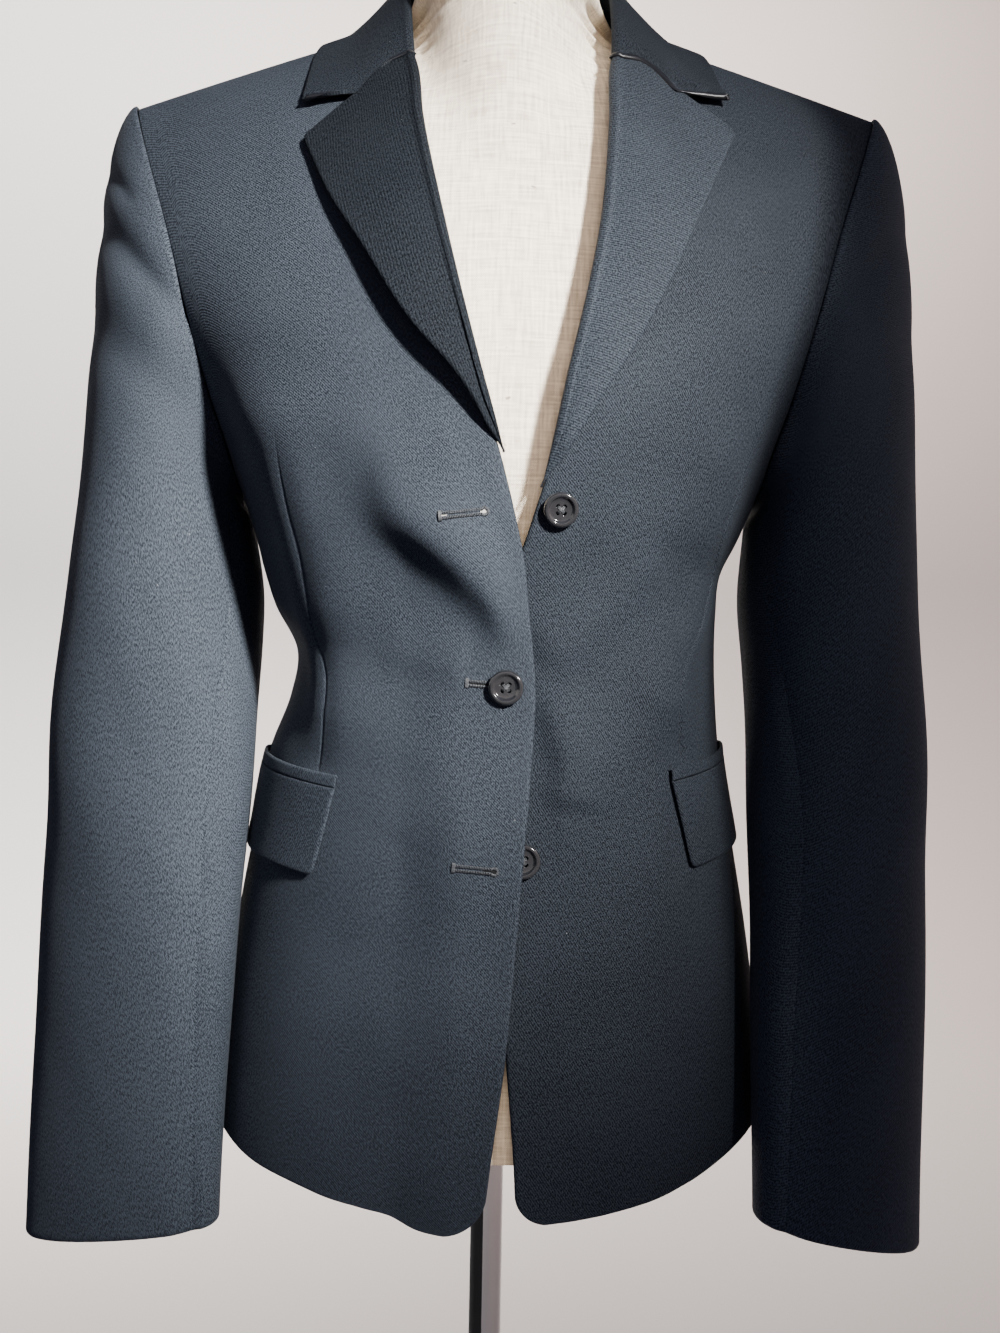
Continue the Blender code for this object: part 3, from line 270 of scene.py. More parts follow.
def hermite(t, first, last, leaving, arriving, step=1):
    """The smooth curve between two values, from its slopes at both ends."""
    return (
        first * (1 + 2 * t) * (1 - t) ** 2
        + last * (3 - 2 * t) * t ** 2
        + step * (leaving * t * (1 - t) ** 2 - arriving * t ** 2 * (1 - t))
    )


def smooth(tab, column, where):
    """A smooth curve through a table's column over its first one, level past the ends."""
    xs, ys = next(iter(tab.values())), tab[column]
    where = np.clip(np.asarray(where, float), xs[0], xs[-1])
    slopes = np.gradient(ys, xs)
    i = np.clip(np.searchsorted(xs, where, side="right") - 1, 0, len(xs) - 2)
    step = xs[i + 1] - xs[i]
    return hermite((where - xs[i]) / step, ys[i], ys[i + 1], slopes[i], slopes[i + 1], step)


def blend(start, end, x):
    """Zero before start and one after end, with a soft change between."""
    t = np.clip((np.asarray(x, float) - start) / (end - start), 0, 1)
    return t * t * (3 - 2 * t)


def unit(vectors):
    return vectors / np.linalg.norm(vectors, axis=-1, keepdims=True)


def runs(points, axis=0):
    """Lengths from the first point along one axis of a line or a grid of points."""
    steps = np.linalg.norm(np.diff(points, axis=axis), axis=-1)
    start = np.zeros_like(np.take(steps, [0], axis=axis))
    return np.concatenate([start, np.cumsum(steps, axis=axis)], axis=axis)


def by_segment(out, height, start, end):
    """Places beside a segment: the run along it, how far off, to which side, its length."""
    ahead = np.subtract(end, start)
    length = np.linalg.norm(ahead)
    ahead = ahead / length
    dx, dz = out - start[0], height - start[1]
    run = np.clip(dx * ahead[0] + dz * ahead[1], 0, length)
    far = np.hypot(dx - run * ahead[0], dz - run * ahead[1])
    return run, far, dx * ahead[1] - dz * ahead[0], length


# --- The garment's shell ----------------------------------------------------

NORMAL_STEP = 1e-4
# The highest climb that a point seen from the front is given
TOP_CLIMB = 1 - 1e-6


def shoulder_height(out):
    """The shoulder seam's line, which rounds off over the neck."""
    return TIP_Z + SHOULDER_SLOPE * (math.hypot(TIP_X, NECK_ROUND) - np.hypot(out, NECK_ROUND))


def rounding(face):
    return FRONT_ROUNDING if face == FRONT else BACK_ROUNDING


def last_rise(face):
    """The climb that stops half a gap short of the shoulder seam."""
    return (1 - SEAM_DEPTH ** rounding(face)) ** (1 / rounding(face))


def shell_point(face, side, angle, level):
    """The cloth's outer face: angle 0 is the centre line, a quarter turn the side."""
    level = np.asarray(level, float)
    angle = np.asarray(angle, float)
    power = 2 / SQUARENESS
    out = smooth(RINGS, "half_width", level) * np.sign(angle) * np.abs(np.sin(angle)) ** power
    # How far the level has gone from the underarm to the shoulder seam
    risen = np.clip((level - UNDERARM) / (TIP_Z - UNDERARM), 0, 1)
    z = np.where(level <= UNDERARM, level, UNDERARM + (shoulder_height(out) - UNDERARM) * risen)
    turn_in = rounding(face)
    depth = (
        smooth(RINGS, face, level)
        * np.abs(np.cos(angle)) ** power
        * (1 - risen ** turn_in) ** (1 / turn_in)
    )
    x = side * out + smooth(RINGS, "shift", level)
    y = -depth if face == FRONT else depth
    return np.stack([x + 0 * z, y, z], axis=-1)


def shell_normal(face, side, angle, level):
    """The outward direction on the shell."""
    angle, level = np.asarray(angle, float), np.asarray(level, float)
    low, high = (np.minimum(level + step, TIP_Z) for step in (-NORMAL_STEP, NORMAL_STEP))
    before, after = angle - NORMAL_STEP, np.minimum(angle + NORMAL_STEP, math.pi / 2)
    up = shell_point(face, side, angle, high) - shell_point(face, side, angle, low)
    round_ = shell_point(face, side, after, level) - shell_point(face, side, before, level)
    normal = unit(np.cross(round_, up))
    return normal * (side if face == FRONT else -side)


def place(out, level):
    """The angle that puts a level's point this far out."""
    ratio = np.clip(np.abs(out) / smooth(RINGS, "half_width", level), 0, 1)
    return np.sign(out) * np.arcsin(ratio ** (SQUARENESS / 2))


def level_of(out, height):
    """The level whose line passes through a point seen from the front."""
    risen = (height - UNDERARM) / (shoulder_height(out) - UNDERARM)
    level = UNDERARM + (TIP_Z - UNDERARM) * np.clip(risen, 0, TOP_CLIMB)
    return np.where(height <= UNDERARM, height, level)


def on_shell(face, side, out, height, raised=0.0):
    """A point on the shell at a place seen from the front, moved out."""
    out, height = np.asarray(out, float), np.asarray(height, float)
    level = level_of(out, height)
    angle = place(out, level)
    point = shell_point(face, side, angle, level)
    normal = shell_normal(face, side, angle, level)
    return point + normal * np.asarray(raised)[..., None]


def armhole_angle(face, level):
    """Where the armhole's seam cuts a level, or the side seam below it."""
    angle = place(smooth(ARMHOLES, face, level), level)
    return np.where(level <= UNDERARM, math.pi / 2, angle)


# Soft folds of the fronts: a line of points as out and height, with the half
# width on the side that it turns to the hem, the half width above, and the height.
FRONT_FOLDS = {
    RIGHT: [
        ([(0.072, 1.139), (0.047, 1.113), (0.018, 1.090), (-0.006, 1.064), (-0.016, 1.044)],
         0.0120, 0.0240, 0.0092),
        ([(0.040, 1.160), (0.021, 1.146), (0.005, 1.133), (-0.006, 1.115)],
         0.0048, 0.0080, 0.0034),
        ([(0.062, 1.046), (0.035, 1.040), (0.012, 1.035)], 0.0090, 0.0180, 0.0018),
        ([(0.026, 1.000), (0.034, 0.975), (0.048, 0.945)], 0.0120, 0.0200, 0.0010),
    ],
    LEFT: [
        ([(0.026, 1.028), (0.030, 1.014), (0.038, 0.988), (0.035, 0.962)], 0.0090, 0.0200, 0.0046),
        ([(0.088, 1.106), (0.060, 1.072), (0.036, 1.050), (0.020, 1.038)], 0.0130, 0.0220, 0.0036),
        ([(0.112, 1.070), (0.100, 1.040), (0.085, 1.010)], 0.0120, 0.0200, 0.0018),
    ],
}
# The parts of its length over which a fold dies away, and what is left at its ends
FOLD_ENDS = (0.26, 0.16)
FOLD_END_LIFT = 0.25

# Waist darts, from the pocket up to the bust, and the small hollow at their tops.
DARTS = {
    RIGHT: table("height out", [
        (0.9844, 0.092), (1.0042, 0.0876), (1.029, 0.086), (1.0614, 0.0946), (1.093, 0.1),
        (1.1427, 0.1143),
    ]),
    LEFT: table("height out", [
        (0.9914, 0.1005), (1.0074, 0.0968), (1.0342, 0.0963), (1.0663, 0.1095),
        (1.121, 0.1215), (1.155, 0.1349),
    ]),
}
DART_DEPTH = {RIGHT: 0.0006, LEFT: 0.0011}
DART_WIDTH = 0.0007
DART_PINCH = 0.0010
DART_PINCH_WIDTH = 0.0075
DIMPLE_DEPTH = {RIGHT: 0.0016, LEFT: 0.0032}
DIMPLE_WIDTH = 0.0065
# The cloth stands out beside each dart: how far, and how wide on the inner and outer side.
DART_RIDGES = {RIGHT: (0.0066, 0.030, 0.0120), LEFT: (0.0040, 0.021, 0.0080)}
# The ridge's line, from above the pocket to in front of the armhole
RIDGE_LINES = {
    RIGHT: table("height out", [
        (0.9844, 0.092), (1.0042, 0.088), (1.029, 0.088), (1.0614, 0.096), (1.093, 0.103),
        (1.1427, 0.118), (1.175, 0.132), (1.205, 0.145),
    ]),
    LEFT: table("height out", [
        (0.9914, 0.1005), (1.0074, 0.0968), (1.0342, 0.0963), (1.0663, 0.1095),
        (1.121, 0.1215), (1.155, 0.1349), (1.19, 0.148),
    ]),
}

# How far the lapel's outer edge stands off the front.
LAPEL_STANDOFF = {RIGHT: 0.0062, LEFT: 0.0016}
LAPEL_GROWS = 0.030
LAPEL_STARTS_LOWER = 0.004
LAPEL_LEAST_WALL = 0.15
# The lapel runs to a point at its lower end: the part of its width left, and how soon.
LAPEL_POINT = 0.05
LAPEL_POINT_HEIGHT = 0.018


# --- The fronts' folds ------------------------------------------------------

def fold_at(fold, out, height):
    """How far one fold lifts the cloth."""
    line, below, above, lift = fold
    total = runs(np.array(line))[-1]
    best = np.full(np.broadcast(out, height).shape, np.inf)
    across, along = np.zeros(best.shape), np.zeros(best.shape)
    gone = 0.0
    for start, end in zip(line, line[1:]):
        run, far, turned, leg = by_segment(out, height, start, end)
        nearer = far < best
        best = np.where(nearer, far, best)
        across = np.where(nearer, np.sign(turned) * far, across)
        along = np.where(nearer, (gone + run) / total, along)
        gone += leg
    # Down the line, below zero is on its centre side where it runs outwards.
    lower = across < 0 if line[-1][0] < line[0][0] else across > 0
    wide = np.where(lower, below, above)
    first, last = FOLD_ENDS
    ends = blend(0, first, along) * (1 - blend(1 - last, 1, along))
    left = FOLD_END_LIFT + (1 - FOLD_END_LIFT) * ends
    return lift * left * np.exp(-(best / wide) ** 2)


def front_raise(side, out, height):
    """Folds, and on the right front the lift over the left one and its button."""
    raised = sum(fold_at(fold, out, height) for fold in FRONT_FOLDS[side])
    raised = raised * blend(*FOLDS_BEGIN, out)
    uneven = ripple(side * out + 0.3, height, *FRONT_RIPPLE)
    raised = raised + uneven * (1 - blend(*FRONT_RIPPLE_ENDS, height))
    if side == RIGHT:
        over = 1 - blend(OVERLAP_TO, OVERLAP_FROM, out)
        low, high = BUTTONS["button_lower"][2], BUTTONS["button_middle"][2]
        by_button = np.exp(-((height - low) / BUTTON_LIFT_REACH) ** 2)
        top = 1 - blend(high + OVERLAP_ENDS[0], high + OVERLAP_ENDS[1], height)
        raised = raised + over * (OVERLAP_LIFT * top + BUTTON_LIFT * by_button)
    return raised


def on_front(side, out, height, raised=0.0):
    from_middle = out + side * smooth(RINGS, "shift", height)
    return on_shell(FRONT, side, out, height, front_raise(side, from_middle, height) + raised)


# --- Steps of the grids -----------------------------------------------------

# Close steps beside an edge, in metres
EDGE_STEPS = np.array([0.0, 0.0005, 0.0011, 0.0019, 0.0030, 0.0046])
# Close steps on both sides of a dart
DART_STEPS = np.array([0.0, 0.0005, 0.0010, 0.0018, 0.0032, 0.0056])
# The most of a grid's length that the close steps at one end may take
EDGE_SHARE = 0.42
SEAM_DEPTH = 0.0050
ROLL_PARTS = np.linspace(0, 3, 15)
ROLL_SECTION = np.stack([smooth(ROLL_KEYS, key, ROLL_PARTS) for key in ("out", "raised")], axis=-1)
# Smoothing where the shell's climb begins: its reach up and down, its rounds,
# its pull in each, and the parts of the width between which it ends.
EASE_REACH = 0.016
EASE_ROUNDS = 120
EASE_PULL = 0.6
EASE_FADE = (0.84, 0.95)


def edged(count, length, first=True, last=True):
    """Even steps from 0 to 1, with close steps beside the ends of a given length."""
    near = EDGE_STEPS / length
    near = near * min(1, EDGE_SHARE / near[-1])
    low, high = (near[-1] if first else 0.0), (near[-1] if last else 0.0)
    inner = np.linspace(low, 1 - high, count)
    return np.concatenate([
        near[:-1] if first else [], inner, 1 - near[:-1][::-1] if last else [],
    ])


def ripple(u, v, scale, depth):
    """A slow unevenness of the cloth."""
    a = np.sin(u / scale * 6.1 + 1.3 * np.sin(v / scale * 2.3 + 0.7))
    b = np.sin(v / scale * 4.7 + 1.1 * np.sin(u / scale * 3.1 + 2.1) + 0.9)
    return depth * (a * 0.5 + b * 0.5)


def eased(points, columns):
    """Rows smoothed up the columns around the underarm, where the shell's climb begins."""
    near = np.exp(-((points[:, :, 2] - UNDERARM) / EASE_REACH) ** 2)
    near = near * (1 - blend(*EASE_FADE, columns))
    for _ in range(EASE_ROUNDS):
        middle = (points[:-2] + points[2:]) / 2
        points[1:-1] += (middle - points[1:-1]) * near[1:-1, :, None] * EASE_PULL
    return points


# --- Fronts and backs -------------------------------------------------------

FRONT_COLUMNS = 96
FRONT_ROWS_BELOW = 120
FRONT_ROWS_ABOVE = 96
BACK_COLUMNS = 76
NECK_COLUMNS = 30
BACK_ROWS_BELOW = 100
BACK_ROWS_ABOVE = 84
CORNER_TURNS = np.linspace(0, math.pi / 2, 16)
SIDE_SEAM_SPREAD = 1.6
INNER_STEPS = 10
# Where the dart's column lies in the front's grid, as a part of the width
DART_PART = 0.62
DART_PART_LIMITS = (0.3, 0.85)
# How far from its ends a ridge or a dart grows and dies away
RIDGE_BEGINS = (-0.004, 0.030)
RIDGE_ENDS = 0.050
DART_BEGINS = (-0.010, 0.004)
DART_ENDS = 0.012
# Rough sizes of the panels, which set how close the steps at their edges are
FRONT_WIDTH = 0.170
LENGTH_ABOVE = 0.30
LENGTH_BELOW = 0.37
# The centre back seam draws the cloth in: how deep, and how far from it
CENTRE_SEAM_DEPTH = 0.0007
CENTRE_SEAM_REACH = 0.009


def side_angle(level):
    """The side seam's angle, half a seam's gap short of the quarter turn."""
    return math.pi / 2 - SEAM / 2 / smooth(RINGS, FRONT, level) * SIDE_SEAM_SPREAD


def hem_height(side, turn):
    return smooth(HEMS[side], "height", turn)


def front_edge(side, height):
    """The visible edge: the free edge, and above the break the roll line."""
    name = "right" if side == RIGHT else "left"
    return smooth(FRONT_EDGES, name, height)


def front_inner(side, height):
    """Where the front itself ends: inside the roll where the lapel turns over."""
    start = LAPEL_EDGES[side]["height"][0] - LAPEL_STARTS_LOWER
    top = GORGES[side]["inner"][1]
    begun = blend(start, start + LAPEL_GROWS, height)
    ended = blend(top + INSET_ENDS[0], top + INSET_ENDS[1], height)
    return front_edge(side, height) + ROLL_INSET * begun * (1 - ended)


def shifted(side, out, level):
    """Out from the centre line, as out from the middle of the ring."""
    return out - side * smooth(RINGS, "shift", level)


def front_columns():
    """Parts of the front's width, with close columns at the edges and at the dart."""
    near = np.concatenate([-DART_STEPS[:0:-1], DART_STEPS]) / FRONT_WIDTH + DART_PART
    even = edged(FRONT_COLUMNS, FRONT_WIDTH)
    even = even[np.abs(even - DART_PART) > DART_STEPS[-1] / FRONT_WIDTH * 1.1]
    return np.sort(np.concatenate([even, near]))


def ridge_raise(side, out, height):
    """How far the cloth stands out along the bust's turn to the side."""
    lift, inner, outer = DART_RIDGES[side]
    line = RIDGE_LINES[side]
    low, high = line["height"][0], line["height"][-1]
    off = out - smooth(line, "out", height)
    held = blend(low + RIDGE_BEGINS[0], low + RIDGE_BEGINS[1], height)
    held = held * (1 - blend(high - RIDGE_ENDS, high, height))
    return lift * held * np.exp(-(off / np.where(off > 0, outer, inner)) ** 2)


def dart_sink(side, off, out, height):
    """How far a dart and the hollow at its top draw the cloth in."""
    tab = DARTS[side]
    low, high = tab["height"][0], tab["height"][-1]
    held = blend(low + DART_BEGINS[0], low + DART_BEGINS[1], height)
    held = held * (1 - blend(high - DART_ENDS, high, height))
    stitched = DART_DEPTH[side] * np.exp(-(off / DART_WIDTH) ** 2)
    pinched = DART_PINCH * np.exp(-(off / DART_PINCH_WIDTH) ** 2)
    far = np.hypot(out - tab["out"][-1], height - high)
    return (stitched + pinched) * held + DIMPLE_DEPTH[side] * np.exp(-(far / DIMPLE_WIDTH) ** 2)


def dart_parts(side, columns, inner_angle, outer_angle, level):
    """The columns' parts of the width at one row, with the dart's column on the dart."""
    dart_out = smooth(DARTS[side], "out", level)
    dart_angle = place(shifted(side, dart_out, level), level)
    share = (dart_angle - inner_angle) / (outer_angle - inner_angle)
    share = float(np.clip(share, *DART_PART_LIMITS))
    before = columns * share / DART_PART
    after = 1 - (1 - columns) * (1 - share) / (1 - DART_PART)
    return np.where(columns < DART_PART, before, after)


def front_points(side):
    """Rows from the hem up to the shoulder seam; columns from the free edge to the side."""
    columns = front_columns()
    radius = CORNER_RADIUS[side]
    hem = hem_height(side, 0.0)
    corner = radius * (1 - np.cos(CORNER_TURNS))
    rest = np.linspace(radius, UNDERARM - hem, FRONT_ROWS_BELOW + 1)[1:]
    most = math.asin(last_rise(FRONT) ** (FRONT_ROUNDING / 2))
    turns = edged(FRONT_ROWS_ABOVE, LENGTH_ABOVE, first=False)[1:]
    climbs = np.sin(most * turns) ** (2 / FRONT_ROUNDING)
    # Each row's climb, and its height over the hem, or -1 above the underarm
    rows = [(dz / (UNDERARM - hem), dz) for dz in [*corner, *rest]]
    rows += [(rise, -1) for rise in climbs]
    at = int(np.argmin(np.abs(columns - DART_PART)))
    hem_start = place(shifted(side, front_inner(side, hem), hem), hem)
    hem_parts = dart_parts(side, columns, hem_start, side_angle(hem), hem)
    grid = []
    for rise, dz in rows:
        if dz >= 0:
            hems = hem_height(side, hem_parts)
            level = hems + (UNDERARM - hems) * rise
            inset = radius - math.sqrt(max(radius ** 2 - max(radius - dz, 0) ** 2, 0))
            inner = front_inner(side, level[0]) + inset
            outer_angle = side_angle(level[-1])
        else:
            level = np.full(len(columns), UNDERARM + (TIP_Z - UNDERARM) * rise)
            inner = NECK_X
            for _ in range(INNER_STEPS):
                inner = front_inner(side, UNDERARM + (shoulder_height(inner) - UNDERARM) * rise)
            outer_angle = armhole_angle(FRONT, level[-1])
        inner_angle = place(shifted(side, inner, level[0]), level[0])
        part = dart_parts(side, columns, inner_angle, outer_angle, level[at])
        angle = inner_angle + (outer_angle - inner_angle) * part
        point = shell_point(FRONT, side, angle, level)
        normal = shell_normal(FRONT, side, angle, level)
        out, height = side * point[:, 0], point[:, 2]
        run = runs(point)
        raised = front_raise(side, out, height) + ridge_raise(side, out, height)
        raised = raised - dart_sink(side, run - run[at], out, height)
        raised = raised * (1 - blend(*FOLDS_FADE, part))
        grid.append(point + normal * raised[:, None])
    return eased(np.array(grid), columns)


def back_points(side):
    """Rows from the hem up to the neck and the shoulder seam; columns from the centre."""
    neck_angle = place(NECK_X, TIP_Z)
    armhole_top = armhole_angle(BACK, TIP_Z)
    neck_part = float(neck_angle / armhole_top)
    neck_turns = np.linspace(0, math.pi / 2, NECK_COLUMNS + 1)[1:]
    near = EDGE_STEPS / FRONT_WIDTH
    rest = np.linspace(neck_part, 1 - near[-1], BACK_COLUMNS - NECK_COLUMNS + 1)[1:]
    inner = neck_part * np.sin(neck_turns)
    columns = np.concatenate([near, inner[inner > near[-1] * 1.2], rest, 1 - near[:-1][::-1]])
    widest = smooth(RINGS, "half_width", TIP_Z)
    out_at_top = widest * (np.sin(columns * armhole_top) ** (2 / SQUARENESS))
    neck_rise = back_neck_height(out_at_top) - UNDERARM
    neck_rise = neck_rise / (shoulder_height(out_at_top) - UNDERARM)
    top = np.where(columns < neck_part - 1e-9, neck_rise, last_rise(BACK))
    grid = []
    for rise in edged(BACK_ROWS_BELOW, LENGTH_BELOW, last=False):
        hem = hem_height(side, 2 - columns)
        level = hem + (UNDERARM - hem) * rise
        angle = columns * side_angle(level[-1])
        grid.append(shell_point(BACK, side, angle, level))
    for turn in edged(BACK_ROWS_ABOVE, LENGTH_ABOVE, first=False)[1:]:
        rise = np.sin(np.arcsin(top ** (BACK_ROUNDING / 2)) * turn) ** (2 / BACK_ROUNDING)
        level = UNDERARM + (TIP_Z - UNDERARM) * rise
        angle = columns * armhole_angle(BACK, level[-1])
        grid.append(shell_point(BACK, side, angle, level))
    grid = np.array(grid)
    # The centre back seam's gap
    grid[:, 0, 0] += side * SEAM / 2
    grid = eased(grid, columns)
    # A seam draws the cloth in a little, and the small of the back is uneven.
    off = np.linalg.norm(grid - grid[:, :1], axis=-1)
    drawn = CENTRE_SEAM_DEPTH * np.exp(-(off / CENTRE_SEAM_REACH) ** 2)
    soft = ripple(grid[:, :, 0] + 0.5, grid[:, :, 2], *BACK_RIPPLE)
    soft = soft * blend(0, 0.03, off) * (1 - blend(0.80, 0.96, columns))
    soft = soft * (1 - blend(*BACK_RIPPLE_ENDS, grid[:, :, 2]))
    return grid + grid_normals(grid, side == LEFT) * (soft - drawn)[..., None]


# --- Sleeves ----------------------------------------------------------------

CAP_ROWS = 44
ARM_ROWS = 120
TOP_SLEEVE_COLUMNS = 84
UNDER_SLEEVE_COLUMNS = 48
ARMHOLE_GAP = 0.0007
UNDERARM_EXTRA_GAP = 0.0018
CAP_PUSH = (0.070, 0.0, -0.055)
UNDERARM_PUSH = (0.014, 0.0, -0.030)
CAP_BULGE = 0.022
CAP_TANGENT_STEP = 0.020
CAP_PULL = 1.1
ARMHOLE_POINTS = 240
# Rough lengths of the cap and the arm, which set how close the steps at their ends are
CAP_LENGTH = 0.16
ARM_LENGTH = 0.40


def armhole_loop(side, angle):
    """The armhole seam: 0 at the underarm, then the front, the tip and the back."""
    turns = np.linspace(0, 1, ARMHOLE_POINTS)
    halves = {}
    for face in (FRONT, BACK):
        rise = np.minimum(np.sin(turns * math.pi / 2) ** (2 / rounding(face)), last_rise(face))
        level = UNDERARM + (TIP_Z - UNDERARM) * rise
        points = shell_point(face, side, armhole_angle(face, level), level)
        run = runs(points)
        halves[face] = (run / run[-1], points)
    angle = np.mod(angle, 2 * math.pi)
    part = np.where(angle <= math.pi, angle, 2 * math.pi - angle) / math.pi
    found = [
        np.stack([np.interp(part, run, points[:, k]) for k in range(3)], axis=-1)
        for run, points in (halves[FRONT], halves[BACK])
    ]
    return np.where((angle <= math.pi)[..., None], found[0], found[1])


def sleeve_ring(side, angle, height):
    """A section of a sleeve's inner face: 0 is its inner edge, a quarter turn its front."""
    inner_out, inner_y, outer_out, outer_y, depth = (
        smooth(SLEEVES[side], column, height) for column in SLEEVE_COLUMNS.split()[1:]
    )
    half_out, half_y = (outer_out - inner_out) / 2, (outer_y - inner_y) / 2
    half = np.hypot(half_out, half_y)
    forward_out, forward_y = half_y / half, -half_out / half
    across, ahead = np.cos(angle), np.sin(angle)
    out = (inner_out + outer_out) / 2 - half_out * across + forward_out * depth * ahead
    y = (inner_y + outer_y) / 2 - half_y * across + forward_y * depth * ahead
    return np.stack([side * out, y, height + 0 * out], axis=-1)


def sleeve_point(side, angle, along):
    """The sleeve's inner face: along is 0 at the armhole, 1 below the cap, 2 at the cuff."""
    angle, along = np.broadcast_arrays(np.asarray(angle, float), np.asarray(along, float))
    to_top = (1 - np.cos(angle)) / 2
    cuff = CUFF_INNER[side] + (CUFF_OUTER[side] - CUFF_INNER[side]) * to_top
    down = np.clip(along - 1, 0, 1)
    arm = sleeve_ring(side, angle, SLEEVE_HEAD + (cuff - SLEEVE_HEAD) * down)
    seam = armhole_loop(side, angle)
    head = sleeve_ring(side, angle, np.full(angle.shape, SLEEVE_HEAD))
    turned = to_top[..., None]
    push = turned * np.array(CAP_PUSH) + (1 - turned) * np.array(UNDERARM_PUSH)
    push = push * np.array([side, 1, 1])
    push[..., 1] -= CAP_BULGE * np.sin(angle)
    gap = ARMHOLE_GAP + UNDERARM_EXTRA_GAP * (1 - to_top) ** 2
    seam = seam + gap[..., None] * np.array([side, 0, 0])
    reach = np.linalg.norm(head - seam, axis=-1, keepdims=True)
    below = sleeve_ring(side, angle, np.full(angle.shape, SLEEVE_HEAD - CAP_TANGENT_STEP))
    drop = unit(below - head) * reach * CAP_PULL
    t = np.clip(along, 0, 1)[..., None]
    return np.where((along <= 1)[..., None], hermite(t, seam, head, push, drop), arm)


# Creases of the sleeves' heads: both ends as out and height, half width and depth
HEAD_CREASES = {
    RIGHT: (
        ((0.2290, 1.3200), (0.2080, 1.2940), 0.0050, 0.0022),
        ((0.2320, 1.2880), (0.1741, 1.2269), 0.0090, 0.0042),
        ((0.2380, 1.2350), (0.1780, 1.1800), 0.0140, 0.0026),
    ),
    LEFT: (
        ((0.2300, 1.2900), (0.1800, 1.2350), 0.0100, 0.0030),
        ((0.2350, 1.2300), (0.1800, 1.1700), 0.0130, 0.0022),
    ),
}


# Between these depths the creases end, behind the front of the head.
CREASE_FADE = (-0.02, 0.02)
# The drape's heights and depths: down the arm, slanting at the elbow, at the cuff
ARM_DRAPE_ENDS = (1.10, 1.20)
ARM_DRAPE = 0.0011
ELBOW_HEIGHT = 1.00
ELBOW_REACH = 0.085
ELBOW_DRAPE = 0.0009
CUFF_DRAPE_ENDS = (0.74, 0.84)
CUFF_DRAPE = 0.0010


def head_crease(side, point):
    """Slanting creases across the front of a sleeve's head, deepest at their middles."""
    out, height = side * point[..., 0], point[..., 2]
    sunk = np.zeros(out.shape)
    for start, end, half_width, depth in HEAD_CREASES[side]:
        run, far, _, length = by_segment(out, height, start, end)
        deep = 0.55 + 0.45 * np.sin(math.pi * run / length)
        sunk = sunk + depth * np.exp(-(far / half_width) ** 2) * deep
    return sunk * (1 - blend(*CREASE_FADE, point[..., 1]))


def sleeve_raise(side, angle, point):
    """Soft drape down the sleeve, with slanting folds above the elbow."""
    height = point[..., 2]
    arm = 1 - blend(*ARM_DRAPE_ENDS, height)
    down = np.sin(2 * angle + 1.1 * np.sin((height - 0.9) * 14.0) + 0.6) * ARM_DRAPE
    slant = np.sin(3 * angle - (height - ELBOW_HEIGHT) * 46.0 + 0.5) * ELBOW_DRAPE
    elbow = np.exp(-((height - ELBOW_HEIGHT) / ELBOW_REACH) ** 2)
    cuff = np.sin(3 * angle + 0.9) * CUFF_DRAPE * (1 - blend(*CUFF_DRAPE_ENDS, height))
    return arm * (down + slant * elbow) + cuff - head_crease(side, point)


def sleeve_piece(side, first_angle, last_angle, columns, width):
    """A sleeve's panel between two angles: rows from the armhole down to the cuff."""
    share = edged(columns, width)
    around = first_angle + (last_angle - first_angle) * share
    along = np.concatenate([
        EDGE_STEPS[:-1] / CAP_LENGTH,
        np.linspace(EDGE_STEPS[-1] / CAP_LENGTH, 1, CAP_ROWS + 1),
        1 + edged(ARM_ROWS, ARM_LENGTH, first=False)[1:],
    ])
    angle, along = np.meshgrid(around, along)
    points = sleeve_point(side, angle, along)
    raised = sleeve_raise(side, angle, points)
    free = blend(0, 0.08, share) * (1 - blend(0.92, 1, share))
    return points + grid_normals(points, side == LEFT) * (raised * free)[..., None]


# --- Lapels and collar ------------------------------------------------------

FALL_COLUMNS = np.concatenate([np.linspace(0, 0.93, 34), [0.950, 0.966, 0.980, 0.990, 1.0]])
ROLL_DEGREES = np.linspace(180, 0, len(ROLL_SECTION))[1:-1]
COLLAR_STATIONS = 61
STAND_COLUMNS = np.linspace(0, 1, 7)[1:-1]
COLLAR_REST = 0.0047
COLLAR_THINS = 0.42
GORGE_REST = 0.0043
RIDGE_REST = 0.0008
RIDGE_REACH = 0.16
COLLAR_TO_GORGE = 1.5
PROBE = 1e-5
PUSHES = 4


LAPEL_LENGTH = 0.24
COLLAR_LENGTH = 0.22
# The least share of the roll's section, at the lapel's lower end
ROLL_LEAST = 0.06
# The lapel's face over the front, and over it where the lapel begins
LAPEL_SKIN = 0.0003
LAPEL_BEGINS = 0.0004
LAPEL_EDGE_LEAN = 0.35
# Where on its way up the lapel's edge lifts off, where it comes down, and its curve
STANDOFF_GROWS = (0.0, 0.32)
STANDOFF_FALLS = (0.42, 1.0)
STANDOFF_CURVE = 1.4


def bent(start, middle, end, part):
    """A point on the way from start to end over middle, which is at a half."""
    return np.where(part <= 0.5, start + (middle - start) * part * 2,
                    middle + (end - middle) * (part - 0.5) * 2)


def gorge_bow(side, part):
    """How far the gorge seam rises over a straight line, up to the notch at a half."""
    return np.where(part < 0.5, GORGE_BOW[side] * np.sin(2 * math.pi * part), 0.0)


def standoff(side, rise, part):
    """How far the lapel's free edge lifts off the front."""
    lifted = blend(*STANDOFF_GROWS, rise) * (1 - blend(*STANDOFF_FALLS, rise))
    return LAPEL_STANDOFF[side] * lifted * part ** STANDOFF_CURVE


